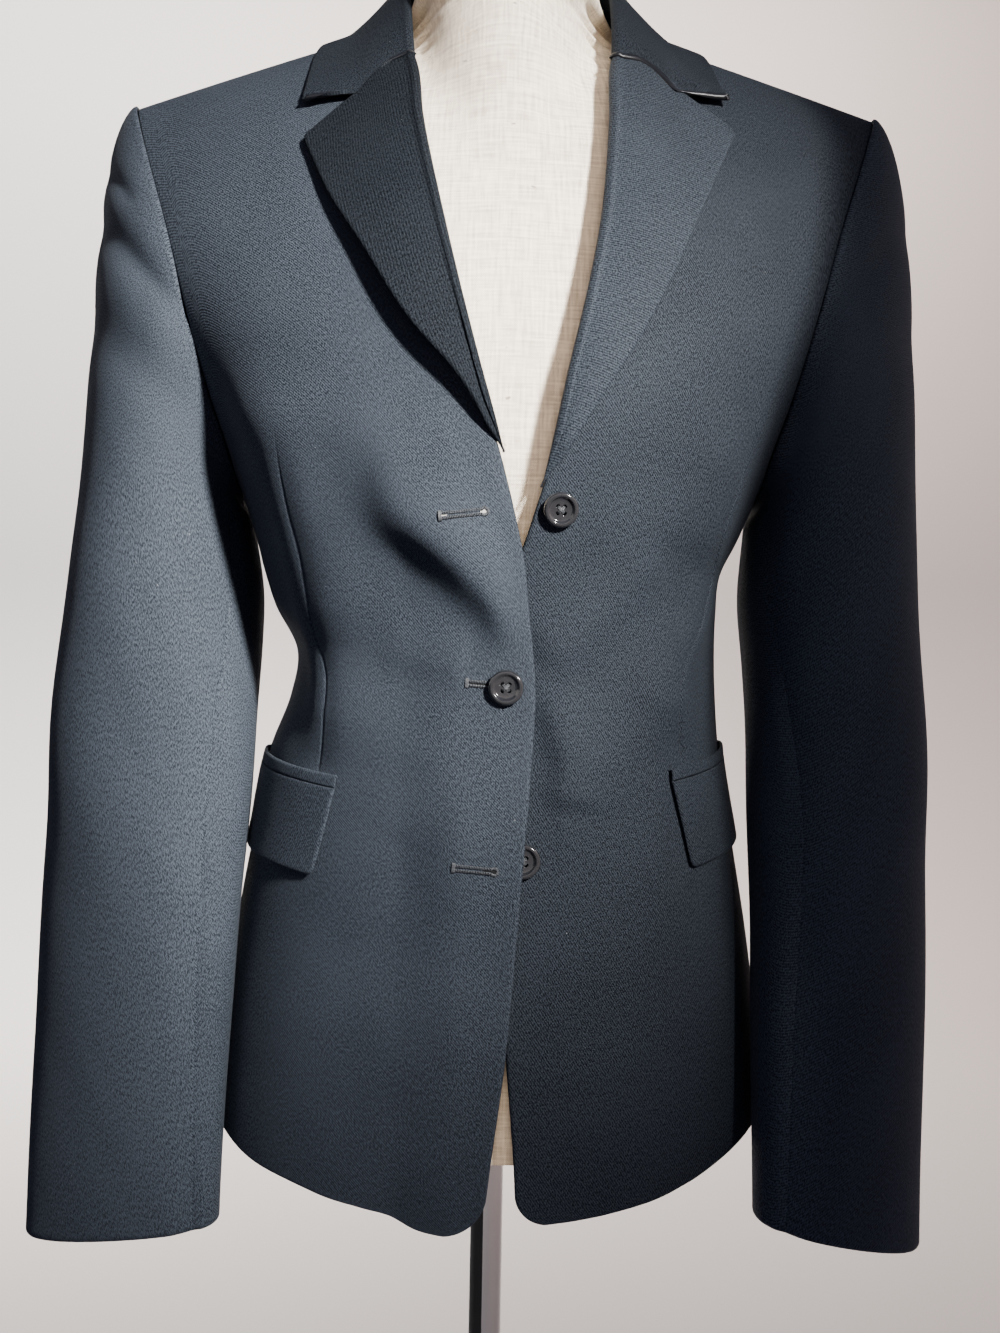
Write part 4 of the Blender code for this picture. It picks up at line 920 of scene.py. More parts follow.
def lapel_points(side):
    """Rows up the roll line, with columns from the front's edge over the roll to the
    lapel's edge, and how far each row has grown to its full thickness."""
    edge, gorge = LAPEL_EDGES[side], GORGES[side]
    inner, notch, tip = (np.array(gorge[key]) for key in ("inner", "notch", "point"))
    low = edge["height"][0] - LAPEL_STARTS_LOWER
    rise = edged(LAPEL_ROWS, LAPEL_LENGTH)
    height = low + (inner[1] - low) * rise
    grown = blend(0, LAPEL_GROWS, height - low)
    roll = front_edge(side, height)
    edge_height = low + (tip[1] - low) * rise
    edge_out = smooth(edge, "out", edge_height)
    # The top row bends at the notch, and the rows below it straighten out.
    bend = blend(NOTCH_BEND_FROM, 1.0, rise)
    section = ROLL_SECTION[None] * (ROLL_LEAST + (1 - ROLL_LEAST) * grown)[:, None, None]
    rolled = on_front(side, roll[:, None] + section[..., 0], height[:, None] + 0 * section[..., 0],
                      section[..., 1] + LAPEL_SKIN)
    start = np.stack([roll + section[:, -1, 0], height], axis=-1)
    least_out = start[:, 0] + LAPEL_LEAST_WIDTH * grown + 0.0002
    end = np.stack([np.maximum(edge_out, least_out), edge_height], axis=-1)
    end[:, 0] -= LAPEL_EDGE_LEAN * standoff(side, rise, 1.0)
    pointed = LAPEL_POINT + (1 - LAPEL_POINT) * blend(0, LAPEL_POINT_HEIGHT, height - low)
    end[:, 0] = start[:, 0] + (end[:, 0] - start[:, 0]) * pointed
    middle = (start + end) / 2 + (notch - (inner + tip) / 2) * bend[:, None]
    part = FALL_COLUMNS[1:][None, :]
    flat = bent(start[:, None], middle[:, None], end[:, None], part[..., None])
    flat[..., 1] += gorge_bow(side, part) * bend[:, None]
    arch = LAPEL_ARCH * np.sin(math.pi * part)
    full = blend(0, 0.05, part)
    first = section[:, -1, 1][:, None] + LAPEL_SKIN
    rest = (LAPEL_REST + arch) * grown[:, None] + LAPEL_BEGINS * (1 - grown[:, None])
    raised = first + (rest - first) * full + standoff(side, rise[:, None], part)
    fallen = on_front(side, flat[..., 0], flat[..., 1], raised)
    return np.concatenate([rolled, fallen], axis=1), grown


def depth_inside(points):
    """Above zero inside the shell, zero on it and below zero outside it."""
    x, y, z = np.moveaxis(points, -1, 0)
    ahead = y < 0
    turn_in = np.where(ahead, FRONT_ROUNDING, BACK_ROUNDING)
    risen = np.clip((z - UNDERARM) / (shoulder_height(x) - UNDERARM), 0, None)
    level = UNDERARM + (TIP_Z - UNDERARM) * np.minimum(risen, 1)
    width = smooth(RINGS, "half_width", level)
    depth = np.where(ahead, *(smooth(RINGS, face, level) for face in (FRONT, BACK)))
    wide = np.maximum(1 - (np.abs(x) / width) ** SQUARENESS, 1e-6) ** (1 / SQUARENESS)
    return 1 - risen ** turn_in - (np.abs(y) / (depth * wide)) ** turn_in


def push_off_shell(points, clear):
    """Points moved out of the shell, or away from it, until they are clear."""
    for _ in range(PUSHES):
        gradient = np.stack([
            (depth_inside(points + step) - depth_inside(points - step)) / (2 * PROBE)
            for step in PROBE * np.eye(3)
        ], axis=-1)
        size = np.linalg.norm(gradient, axis=-1)
        missing = np.maximum(clear + depth_inside(points) / size, 0)
        points = points - gradient / size[..., None] * missing[..., None]
    return points


def back_neck_height(out):
    rise = shoulder_height(NECK_X) - BACK_NECK_Z
    return BACK_NECK_Z + rise * (np.asarray(out) / NECK_X) ** 2


def neck_seam(side, station):
    """Where the collar's stand meets the neck's edge, just above the shell."""
    if station <= COLLAR_AT_SHOULDER:
        out = NECK_X * math.sin(math.pi / 2 * station / COLLAR_AT_SHOULDER)
        return on_shell(BACK, side, out, back_neck_height(out), COLLAR_SEAM_RAISE[BACK])
    part = (station - COLLAR_AT_SHOULDER) / (1 - COLLAR_AT_SHOULDER)
    top = float(shoulder_height(NECK_X))
    height = top + (GORGES[side]["inner"][1] + GORGE_GAP - top) * part
    out = float(front_inner(side, height)) - COLLAR_SETBACK * part
    return on_shell(FRONT, side, out, height, COLLAR_SEAM_RAISE[FRONT])


def gorge_row(side):
    """The collar's end, just above the lapel's top: over the roll, to the notch and the tip."""
    tab, gorge = COLLARS[side], GORGES[side]
    height = gorge["inner"][1] + GORGE_GAP
    roll = float(front_edge(side, height))
    notch = np.array(gorge["notch"]) + (GORGE_GAP, GORGE_GAP)
    tip = np.array([tab["edge_out"][-1], tab["edge_z"][-1]])
    out, raised = ROLL_SECTION.T
    rolled = on_front(side, roll + out, height + 0 * out, raised)
    part = FALL_COLUMNS[1:]
    flat = bent(np.array([roll + out[-1], height]), notch, tip, part[:, None])
    flat[:, 1] += gorge_bow(side, part)
    return np.concatenate([rolled, on_front(side, flat[:, 0], flat[:, 1], GORGE_REST)])


def collar_row(side, station, end):
    """One row of the collar, from the neck's edge over the fold to the collar's edge."""
    tab = COLLARS[side]
    values = [float(smooth(tab, column, station)) for column in COLLAR_COLUMNS.split()[1:]]
    fold, edge = np.array(values).reshape(2, 3) * (side, 1, 1)
    outward = unit((edge - fold) * (1, 1, 0))
    over = np.array([0, 0, 1.0])
    seam = neck_seam(side, station)
    turn = np.radians(ROLL_DEGREES)[:, None]
    first = fold + outward * COLLAR_ROLL
    fall = first + (edge - first) * FALL_COLUMNS[:, None]
    fall[:, 2] -= FALL_SAG * np.sin(math.pi * FALL_COLUMNS)
    row = np.concatenate([
        [fold - outward * COLLAR_ROLL],
        fold + COLLAR_ROLL * (outward * np.cos(turn) + over * np.sin(turn)),
        fall,
    ])
    # The wall stands further off where it bends over the shoulder's ridge.
    ridge = math.exp(-((station - COLLAR_AT_SHOULDER) / RIDGE_REACH) ** 2)
    count = len(FALL_COLUMNS)
    outwards = np.clip(np.arange(len(row)) - len(row) + count, 0, None) / count
    row = push_off_shell(row, (COLLAR_REST + RIDGE_REST * ridge) * (1 - COLLAR_THINS * outwards))
    # Towards the gorge the collar takes up the lapel's line.
    ended = blend(COLLAR_AT_SHOULDER, 1.0, station) ** COLLAR_TO_GORGE
    row = row + (end - row) * ended
    stand = seam + (row[0] - seam) * STAND_COLUMNS[:, None]
    return np.concatenate([[seam], stand, row])


def collar_points():
    """Rows from the right gorge round the back of the neck to the left gorge."""
    steps = edged(COLLAR_STATIONS, COLLAR_LENGTH, first=False)[::-1]
    return np.array([
        collar_row(side, step, end)
        for side, stations, end in (
            (RIGHT, steps, gorge_row(RIGHT)), (LEFT, steps[-2::-1], gorge_row(LEFT)),
        )
        for step in stations
    ])


# --- Pockets ----------------------------------------------------------------

POCKET_COLUMNS = 56
POCKET_LENGTH = 0.080
WELT_ROWS = 8
FLAP_ROWS = 28
FLAP_BOW = 0.0010
FLAP_CORNER = 0.004


def pocket_strip(side, top_drop, bottom_drop, rows, raised, lean, bow=0.0):
    """A strip along the pocket's slanted line, between two distances below it."""
    pocket = POCKETS[side]
    inner_out, inner_height = pocket["inner"]
    inner_angle = float(place(shifted(side, inner_out, inner_height), inner_height))
    outer_angle = pocket["outer_turn"] * math.pi / 2
    u = edged(POCKET_COLUMNS, POCKET_LENGTH)[None, :]
    part = edged(rows, bottom_drop - top_drop)[:, None]
    drop = bottom_drop + (top_drop - bottom_drop) * part
    height = inner_height + (pocket["outer_height"] - inner_height) * u - drop
    width = smooth(RINGS, "half_width", height)
    end = inner_angle + lean * (1 - part) * (1 - u) / width
    angle = end + (outer_angle - end) * u
    lifted = raised * (1 - 0.7 * blend(0.93, 1.0, u)) + bow * np.sin(math.pi * u) * (1 - part)
    point = shell_point(FRONT, side, angle, height)
    out = side * point[..., 0]
    faded = 1 - blend(*FOLDS_FADE, angle / (math.pi / 2))
    lifted = lifted + front_raise(side, out, point[..., 2]) * faded
    return point + shell_normal(FRONT, side, angle, height) * lifted[..., None]


# --- Dress form -------------------------------------------------------------

FORM_COLUMNS = 128
FORM_ROWS = 170


def oval_row(height, half_width, front, back, centre_y, shift=0.0):
    """A closed horizontal row of the form, round from the centre front."""
    angle = np.linspace(0, 2 * math.pi, FORM_COLUMNS, endpoint=False)
    power = 2 / SQUARENESS
    across = np.sign(np.sin(angle)) * np.abs(np.sin(angle)) ** power
    ahead = np.sign(np.cos(angle)) * np.abs(np.cos(angle)) ** power
    depth = np.where(ahead > 0, front, back)
    return np.stack([
        half_width * across + shift, centre_y - depth * ahead, np.full(len(angle), height),
    ], axis=-1)


def chest_row(height, half_width):
    """A row that follows the garment's inside, with flat ends at the armholes."""
    angle = np.linspace(0, 2 * math.pi, FORM_COLUMNS, endpoint=False)
    out = half_width * np.sin(angle)
    ahead = np.cos(angle)
    row = []
    for x, forward in zip(out, ahead):
        face = FRONT if forward > 0 else BACK
        y = 0.0
        if abs(forward) > 1e-6:
            level = level_of(x, height + CLOTH + FORM_DROP)
            y = shell_point(face, LEFT, place(x, level), level)[1] * FORM_DEPTH
            # The neck grows out of the chest and the back.
            sign = -1 if face == FRONT else 1
            neck = NECK_CENTRE_Y + sign * math.sqrt(max(NECK_RADIUS ** 2 - x ** 2, 0))
            grown = float(blend(NECK_FROM, NECK_FULL, height))
            y = sign * max(sign * y, sign * neck * grown if abs(x) < NECK_RADIUS else 0.0)
        row.append((x, y, height))
    return np.array(row)


def form_rows():
    """The form's rows from the hem's height up over the shoulders to the neck's top."""
    rows = []
    for height, half_width, front, back in zip(*FORM_RINGS.values()):
        shift = float(smooth(RINGS, "shift", height))
        rows.append(oval_row(height, half_width, front, back, 0.0, shift))
    most = FORM_RINGS["half_width"][-1]
    for height in FORM_CHEST:
        grown = blend(FORM_RINGS["height"][-1], FORM_CHEST_FULL, height)
        rows.append(chest_row(height, most + (FORM_HALF_WIDTH - most) * grown))
    # The shoulders lie along the garment's seam, just under the cloth.
    for out in FORM_SHOULDER_OUT:
        rows.append(chest_row(float(shoulder_height(out)) - CLOTH - FORM_REST, out))
    for height, half_width, depth in zip(*NECK_RINGS.values()):
        rows.append(oval_row(height, half_width, depth, depth, NECK_CENTRE_Y))
    return np.array(rows)


# --- Materials --------------------------------------------------------------

class Nodes:
    """Short names for making and joining shader nodes."""

    def __init__(self, name):
        self.material = bpy.data.materials.new(name)
        self.material.use_nodes = True
        self.tree = self.material.node_tree
        self.shader = self.tree.nodes["Principled BSDF"]

    def feed(self, socket, value):
        """Join a socket to a node's output, or set its own value."""
        if isinstance(value, bpy.types.NodeSocket):
            self.tree.links.new(value, socket)
        elif socket.type == "RGBA":
            socket.default_value = (*value, 1.0)
        else:
            socket.default_value = value

    def add(self, kind, inputs=(), **values):
        """A node with values of its own, and with inputs by name or by number."""
        node = self.tree.nodes.new(kind)
        for key, value in values.items():
            setattr(node, key, value)
        for key, value in dict(inputs).items():
            self.feed(node.inputs[key], value)
        return node

    def math(self, operation, first, second=0.5, clamp=False):
        inputs = {0: first, 1: second}
        return self.add("ShaderNodeMath", inputs, operation=operation, use_clamp=clamp).outputs[0]

    def times(self, first, second):
        return self.math("MULTIPLY", first, second)

    def centred(self, value, amount):
        """A value around a half, as an amount around zero."""
        return self.times(self.math("SUBTRACT", value, 0.5), amount)

    def total(self, *values):
        found = values[0]
        for value in values[1:]:
            found = self.math("ADD", found, value)
        return found

    def places(self):
        """The lengths along and up the cloth, in metres."""
        uv = self.add("ShaderNodeUVMap", uv_map="lengths").outputs[0]
        return (uv, *self.split(uv)[:2])

    def split(self, vector):
        return list(self.add("ShaderNodeSeparateXYZ", {0: vector}).outputs)

    def object_places(self):
        return self.add("ShaderNodeTexCoord").outputs["Object"]

    def turned(self, vector, turn, scale):
        inputs = {"Rotation": (0, 0, turn), "Scale": scale, "Vector": vector}
        return self.add("ShaderNodeMapping", inputs).outputs[0]

    def noise(self, vector, scale, detail=2.0, roughness=0.5):
        inputs = {"Scale": scale, "Detail": detail, "Roughness": roughness, "Vector": vector}
        return self.add("ShaderNodeTexNoise", inputs).outputs["Fac"]

    def specks(self, vector, scale, size, rare):
        """One where a cell holds a small speck, and zero elsewhere."""
        cells = self.add("ShaderNodeTexVoronoi", {"Scale": scale, "Vector": vector}).outputs
        picked = self.math("GREATER_THAN", self.split(cells["Color"])[0], rare)
        return self.times(self.math("LESS_THAN", cells["Distance"], size), picked)

    def mix(self, factor, first, second):
        node = self.add("ShaderNodeMix", {"Factor": factor}, data_type="RGBA")
        colours = [i for i in node.inputs if i.type == "RGBA"]
        for socket, value in zip(colours, (first, second)):
            self.feed(socket, value)
        return [o for o in node.outputs if o.type == "RGBA"][0]

    def bump(self, height, distance, strength):
        inputs = {"Strength": strength, "Distance": distance, "Height": height}
        return self.add("ShaderNodeBump", inputs).outputs[0]

    def set(self, **values):
        """Feed the shader's inputs, named with _ for a space."""
        for key, value in values.items():
            self.feed(self.shader.inputs[key.replace("_", " ")], value)


# Dark and light tones of each cloth, and of its specks
WOOL_TONES = ((0.0048, 0.0085, 0.0155), (0.0860, 0.1040, 0.1290))
LINT_TONE = (0.26, 0.27, 0.28)
LINING_TONES = ((0.010, 0.011, 0.014), (0.018, 0.019, 0.024))
LINEN_TONES = ((0.50, 0.410, 0.310), (0.99, 0.900, 0.745))
FLECK_TONE = (0.36, 0.29, 0.22)
LINEN_PITCH = 0.00095


def wool_material(name, degrees, pitch, ribbed, depth=1.0):
    """Fine worsted twill: a slanting rib, mottled yarn, a soft nap and a little lint.

    degrees is the direction across the ribs, on the cloth's own lengths; depth
    scales its tones, sheen and specular: painted shade for how the light falls on
    each piece and on its rib's direction.
    """
    n = Nodes(name)
    place, u, v = n.places()
    turn = math.radians(degrees)
    across = n.total(n.times(u, math.cos(turn)), n.times(v, math.sin(turn)))
    wander = n.times(n.noise(place, 650, 2), 2.6)
    rib = n.math("SINE", n.total(n.times(across, 2 * math.pi / pitch), wander))
    rib = n.times(rib, n.total(n.noise(place, 60, 2), 0.30))
    streak = n.noise(n.turned(place, -turn, (1.0, 0.30, 1.0)), 1900, 2)
    mottle = n.noise(place, 1050, 3, 0.7)
    cloudy = n.noise(place, 14, 3, 0.6)
    uneven = n.total(n.times(rib, ribbed), n.centred(streak, 2.8), n.centred(mottle, 3.4),
                     n.centred(cloudy, 0.5))
    tone = n.math("ADD", uneven, 0.5, clamp=True)
    # Painted shade: the piece's dark and light tones scaled down by depth
    dark, light = (tuple(depth * value for value in tone_) for tone_ in WOOL_TONES)
    lint = n.specks(place, 75, 0.022, 0.62)
    height = n.total(n.times(rib, 0.5), n.times(streak, 0.9), n.times(mottle, 0.7))
    n.set(Base_Color=n.mix(lint, n.mix(tone, dark, light), LINT_TONE), Roughness=0.78,
          Sheen_Weight=0.04 * depth, Sheen_Roughness=0.40, Sheen_Tint=(0.75, 0.82, 0.90),
          Specular_IOR_Level=0.30 * depth, Normal=n.bump(height, 0.00016, 0.6))
    return n.material


def lining_material():
    """Dark satin with faint streaks."""
    n = Nodes("lining_satin")
    streak = n.noise(n.places()[0], 400, 2)
    n.set(Base_Color=n.mix(streak, *LINING_TONES), Roughness=0.36,
          Normal=n.bump(streak, 0.00004, 0.5))
    return n.material


def linen_material():
    """Plain-weave linen with slubs and a few dark flecks."""
    n = Nodes("linen_weave")
    place, u, v = n.places()
    drift = n.times(n.noise(place, 160, 2), 2.4)
    warp, weft = (
        n.math("SINE", n.total(n.times(way, 2 * math.pi / LINEN_PITCH), drift)) for way in (u, v)
    )
    weave = n.total(n.times(n.times(warp, weft), 0.5), 0.5)
    upright, level = (
        n.noise(n.turned(place, 0.0, scale), 620, 3, 0.6)
        for scale in ((1.0, 0.07, 1.0), (0.07, 1.0, 1.0))
    )
    uneven = n.total(n.centred(weave, 0.60), n.centred(upright, 1.7), n.centred(level, 1.7))
    woven = n.mix(n.math("ADD", uneven, 0.62, clamp=True), *LINEN_TONES)
    fleck = n.noise(n.turned(place, 0.0, (0.45, 1.0, 1.0)), 330, 1)
    fleck = n.math("GREATER_THAN", fleck, 0.775)
    height = n.total(weave, n.times(upright, 0.7), n.times(level, 0.7))
    n.set(Base_Color=n.mix(fleck, woven, FLECK_TONE), Roughness=0.88, Sheen_Weight=0.10,
          Sheen_Roughness=0.5, Normal=n.bump(height, 0.00025, 0.7))
    return n.material


def plain_material(name, dark, light, roughness, scale, metallic=0.0, bump=0.0, coat=0.0):
    """A hard finish with a faint unevenness of tone and of gloss."""
    n = Nodes(name)
    cloud = n.noise(n.object_places(), scale, 4, 0.6)
    gloss = n.total(n.times(cloud, roughness * 0.6), roughness * 0.7)
    n.set(Base_Color=n.mix(cloud, dark, light), Metallic=metallic, Coat_Weight=coat,
          Roughness=gloss)
    if bump:
        n.set(Normal=n.bump(cloud, bump, 0.5))
    return n.material


# Lit and shaded copies of one wool: each piece's last number darkens it as painted shade; the
# plain twill has none.
WOOL = {
    "front_right": wool_material("wool_front_right_painted_shade", 48, 0.0011, 0.40, 0.92),
    "front_left": wool_material("wool_front_left_painted_shade", 32, 0.0011, 0.42, 0.64),
    "lapel_right": wool_material("wool_lapel_right_painted_shade", 4, 0.0019, 0.26, 0.29),
    "lapel_left": wool_material("wool_lapel_left_painted_shade", 96, 0.0013, 0.40, 0.74),
    "collar": wool_material("wool_collar_painted_shade", 45, 0.0012, 0.26, 0.46),
    "plain": wool_material("wool_twill", 45, 0.0011, 0.30),
}
LINING = lining_material()
LINEN = linen_material()
THREAD = plain_material(
    "thread", (0.060, 0.066, 0.074), (0.150, 0.158, 0.168), 0.42, 900, bump=0.0001)
# A near-black sheet: painted shade inside a buttonhole's slit
SLIT_SHADE = plain_material("slit", (0.002, 0.002, 0.003), (0.006, 0.006, 0.008), 0.80, 700)
# A pale sheet for the top slit: the linen seen through it, made bright as a painted highlight
OPEN_SLIT_HIGHLIGHT = plain_material("open_slit_painted_highlight", (0.30, 0.28, 0.25), (0.95, 0.92, 0.86), 0.50, 900)
BUTTON = plain_material(
    "button_resin", (0.012, 0.013, 0.016), (0.036, 0.038, 0.042), 0.12, 160, coat=1.0)
CHROME = plain_material(
    "chrome", (0.56, 0.56, 0.57), (0.68, 0.68, 0.69), 0.09, 30, metallic=1.0)
STEEL = plain_material(
    "satin_steel", (0.42, 0.43, 0.45), (0.52, 0.53, 0.55), 0.30, 60, metallic=1.0)


# --- Making pieces ----------------------------------------------------------

# How a sewn edge turns in: how far from the edge it begins, and how deep it goes.
FREE = (0.0017, 0.0009)
SEAMED = (0.0011, 0.0004)
PRESSED = (0.0009, 0.00018)
LAPEL_TIP_RADIUS = 0.0035
# The least side of a flat size, and the least share of it that the cut may take
SMALLEST_CUT = 0.0102
SMALLEST_SHARE = 0.301


def grid_normals(points, flip):
    """The outward directions on a grid of points."""
    across = np.gradient(points, axis=1)
    up = np.gradient(points, axis=0)
    return unit(np.cross(across, up)) * (-1 if flip else 1)


def end_distances(points):
    """Distances from the first and the last row, then the first and the last column."""
    down, along = runs(points), runs(points, 1)
    return down, down[-1:] - down, along, along[:, -1:] - along


def soften(points, flip, edges):
    """Turn the grid's edges in, each as a free or a sewn edge."""
    sunk = np.zeros(points.shape[:2])
    for distance, edge in zip(end_distances(points), edges):
        if edge:
            radius, depth = edge
            sunk = np.maximum(sunk, depth * np.clip(1 - distance / radius, 0, 1) ** 2)
    return points - grid_normals(points, flip) * sunk[..., None]


def round_corner(points, row, column, radius):
    """Round one corner of a grid, where its row and column are 0 or -1."""
    distances = end_distances(points)
    ways = tuple(slice(None, None, 1 if end == 0 else -1) for end in (row, column))
    down, along = distances[0 if row == 0 else 1][ways], distances[2 if column == 0 else 3][ways]
    grid = points[ways]
    into_row = unit(grid[:, 1:2] - grid[:, 0:1])
    into_column = unit(grid[1:2] - grid[0:1])
    p, q = np.clip(radius - along, 0, None), np.clip(radius - down, 0, None)
    scale = np.maximum(p, q) / np.maximum(np.hypot(p, q), 1e-9)
    inside = (p > 0) & (q > 0)
    inside[len(grid) // 2:] = False
    inside[:, grid.shape[1] // 2:] = False
    moved = into_row * (p * (1 - scale) * inside)[..., None]
    moved = moved + into_column * (q * (1 - scale) * inside)[..., None]
    return (grid + moved)[ways]


def lengths_map(points, across=1, up=1):
    """Texture places in metres, along the rows and up the columns, each with its sign."""
    return across * runs(points, 1), up * runs(points)


def torso_map(points, side):
    """Texture places that run on across the centre: out along the row, up the column."""
    u, v = lengths_map(points)
    u = u + np.abs(points[:, :1, 0]) * np.sign(side * points[:, :1, 0])
    return side * u, v + points[:1, :, 2]


def new_object(name, data):
    thing = bpy.data.objects.new(name, data)
    bpy.context.scene.collection.objects.link(thing)
    return thing


def grid_piece(name, points, flip=False, closed=False, map_uv=None):
    """A mesh through rows of points, with its lengths as texture places."""
    rows, columns = points.shape[:2]
    last = columns if closed else columns - 1
    r, c = np.meshgrid(np.arange(rows - 1), np.arange(last), indexing="ij")
    d = (c + 1) % columns
    corners = (r * columns + c, r * columns + d, (r + 1) * columns + d, (r + 1) * columns + c)
    faces = np.stack(corners, axis=-1).reshape(-1, 4)
    if flip:
        faces = faces[:, ::-1]
    mesh = bpy.data.meshes.new(name)
    mesh.from_pydata(points.reshape(-1, 3).tolist(), [], faces.tolist())
    u, v = map_uv if map_uv is not None else lengths_map(points)
    layer = mesh.uv_layers.new(name="lengths")
    places = np.stack([u, v], axis=-1).reshape(-1, 2)
    layer.data.foreach_set("uv", places[faces.reshape(-1)].astype(np.float32).ravel())
    mesh.shade_smooth()
    return new_object(name, mesh)


def sewn(node, points, flip=False, edges=(SEAMED,) * 4, corners=(), map_uv=None,
         wool="plain", grows=-1, walls=None):
    """A cut and sewn panel in place of a CAD node; its cut size is worked out but not used."""
    name = node + "_cloth"
    for row, column, radius in corners:
        points = round_corner(points, row, column, radius)
    points = soften(points, flip, edges)
    thing = grid_piece(name, points, flip, map_uv=map_uv)
    thing.data.materials.append(WOOL[wool])
    thing.data.materials.append(LINING)
    wall = thing.modifiers.new("wall", "SOLIDIFY")
    wall.thickness = CLOTH
    wall.offset = grows
    wall.material_offset = 1
    if walls is not None:
        group = thing.vertex_groups.new(name="wall")
        columns = points.shape[1]
        for i, weight in enumerate(walls):
            group.add(range(i * columns, (i + 1) * columns), float(weight), "REPLACE")
        wall.vertex_group = "wall"
    u, v = lengths_map(points)
    flat = (float(u.max()), max(float(v.max()), SMALLEST_CUT))
    crossed = np.cross(points[1:, 1:] - points[:-1, :-1], points[1:, :-1] - points[:-1, 1:])
    area = float(np.linalg.norm(crossed, axis=-1).sum() / 2)
    area = min(max(area, flat[0] * flat[1] * SMALLEST_SHARE), flat[0] * flat[1])
    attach(thing, "root")
    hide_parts(node)
    return thing


# --- The blazer -------------------------------------------------------------

def side_pieces(side, name):
    """The pieces that each side of the blazer has."""
    mirrored = side == RIGHT
    front, back = "front_" + name, "back_" + name
    points = front_points(side)
    sewn(front, points, flip=mirrored, map_uv=torso_map(points, side),
         edges=(FREE, SEAMED, FREE, SEAMED), wool=front)
    points = back_points(side)
    sewn(back, points, flip=not mirrored,
         map_uv=torso_map(points, side), edges=(FREE, SEAMED, SEAMED, SEAMED))
    front_seam, back_seam, turn = FRONT_SEAM_ANGLE, BACK_SEAM_ANGLE, SLEEVE_SEAM_TURN
    panels = (
        ("top", front_seam + turn, 2 * math.pi + back_seam - turn, TOP_SLEEVE_COLUMNS, 0.24),
        ("under", back_seam + turn, front_seam - turn, UNDER_SLEEVE_COLUMNS, 0.14),
    )
    for part, first, last, columns, width in panels:
        points = sleeve_piece(side, first, last, columns, width)
        sewn(f"sleeve_{name}_{part}", points,
             flip=not mirrored, edges=(SEAMED, FREE, SEAMED, SEAMED), grows=1,
             map_uv=lengths_map(points, side, -1))
    points, grown = lapel_points(side)
    sewn("lapel_" + name, points, flip=mirrored,
         map_uv=lengths_map(points, side), edges=(None, PRESSED, None, FREE),
         corners=[(-1, -1, LAPEL_TIP_RADIUS)], wool="lapel_" + name,
         walls=LAPEL_LEAST_WALL + (1 - LAPEL_LEAST_WALL) * grown)
    raised = POCKET_STANDOFF + CLOTH
    welt = pocket_strip(side, 0.0, WELT_HEIGHT, WELT_ROWS, raised, 0.0)
    flap = pocket_strip(side, WELT_HEIGHT + SEAM, WELT_HEIGHT + FLAP_HEIGHT, FLAP_ROWS, raised,
                        FLAP_LEAN, FLAP_BOW)
    flap_corners = [(0, 0, FLAP_CORNER), (0, -1, FLAP_CORNER)]
    for part, points, held, edges, corners in (
        ("welt", welt, "stretched", (SEAMED, FREE, SEAMED, SEAMED), ()),
        ("flap", flap, "hung", (FREE, SEAMED, FREE, FREE), flap_corners),
    ):
        sewn(f"{part}_{name}", points, flip=mirrored, edges=edges,
             map_uv=lengths_map(points, side), wool=front, corners=corners)


side_pieces(RIGHT, "right")
side_pieces(LEFT, "left")
sewn("collar", collar_points(),
     flip=True, edges=(PRESSED, PRESSED, SEAMED, FREE), wool="collar",
     corners=[(0, -1, LAPEL_TIP_RADIUS), (-1, -1, LAPEL_TIP_RADIUS)])


# --- The form, its pole and its base ----------------------------------------

def smooth_rows(rows, count):
    """More rows on smooth curves through the given ones."""
    run = runs(rows).mean(1)
    at = np.unique(np.concatenate([np.linspace(0, run[-1], count), run]))
    slopes = np.gradient(rows, run, axis=0)
    i = np.clip(np.searchsorted(run, at, side="right") - 1, 0, len(run) - 2)
    step = (run[i + 1] - run[i])[:, None, None]
    t = (at - run[i])[:, None, None] / step
    return hermite(t, rows[i], rows[i + 1], slopes[i], slopes[i + 1], step)


def shown(name, data, finish, node):
    """An object for a mesh, in place of a CAD node where one is named."""
    thing = new_object(name, data)
    data.materials.append(finish)
    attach(thing, "root")
    if node:
        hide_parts(node)
    return thing


def mesh_of(shape, name, sharp=None):
    """Smooth-shaded mesh data from a bmesh, with edges sharp from an angle in degrees."""
    bmesh.ops.recalc_face_normals(shape, faces=shape.faces)
    data = bpy.data.meshes.new(name)
    shape.to_mesh(data)
    shape.free()
    data.shade_smooth()
    if sharp:
        data.set_sharp_from_angle(angle=math.radians(sharp))
    return data


def closed_tube(shape, rings):
    """Faces of a bmesh between closed rings of its corners, with both ends shut."""
    for first, second in zip(rings, rings[1:]):
        for i in range(len(first)):
            j = (i + 1) % len(first)
            shape.faces.new([first[i], first[j], second[j], second[i]])
    shape.faces.new(rings[0][::-1])
    shape.faces.new(rings[-1])


def turned_rows(profile, steps):
    """Rows round Z from a profile of radius and height."""
    angle = np.linspace(0, 2 * math.pi, steps, endpoint=False)
    rings = np.array(profile)
    return np.stack([
        rings[:, :1] * np.cos(angle), rings[:, :1] * np.sin(angle), rings[:, 1:] + 0 * angle,
    ], axis=-1)


def form_piece():
    """The linen torso with its neck, shut at both ends."""
    # The texture's join lies down the centre back.
    rows = np.roll(smooth_rows(form_rows(), FORM_ROWS), FORM_COLUMNS // 2, axis=1)
    rows = np.concatenate([rows, rows[:, :1]], axis=1)
    u, v = lengths_map(rows)
    middle = FORM_COLUMNS // 2
    made = grid_piece("form_linen_grid", rows, flip=True, map_uv=(u - u[:, middle:middle + 1], v))
    mesh = bmesh.new()
    mesh.from_mesh(made.data)
    bmesh.ops.remove_doubles(mesh, verts=mesh.verts, dist=1e-6)
    bmesh.ops.holes_fill(mesh, edges=mesh.edges, sides=0)
    bpy.data.objects.remove(made)
    data = mesh_of(mesh, "form_linen", 40)
    shown("form_linen", data, LINEN, "form_torso")


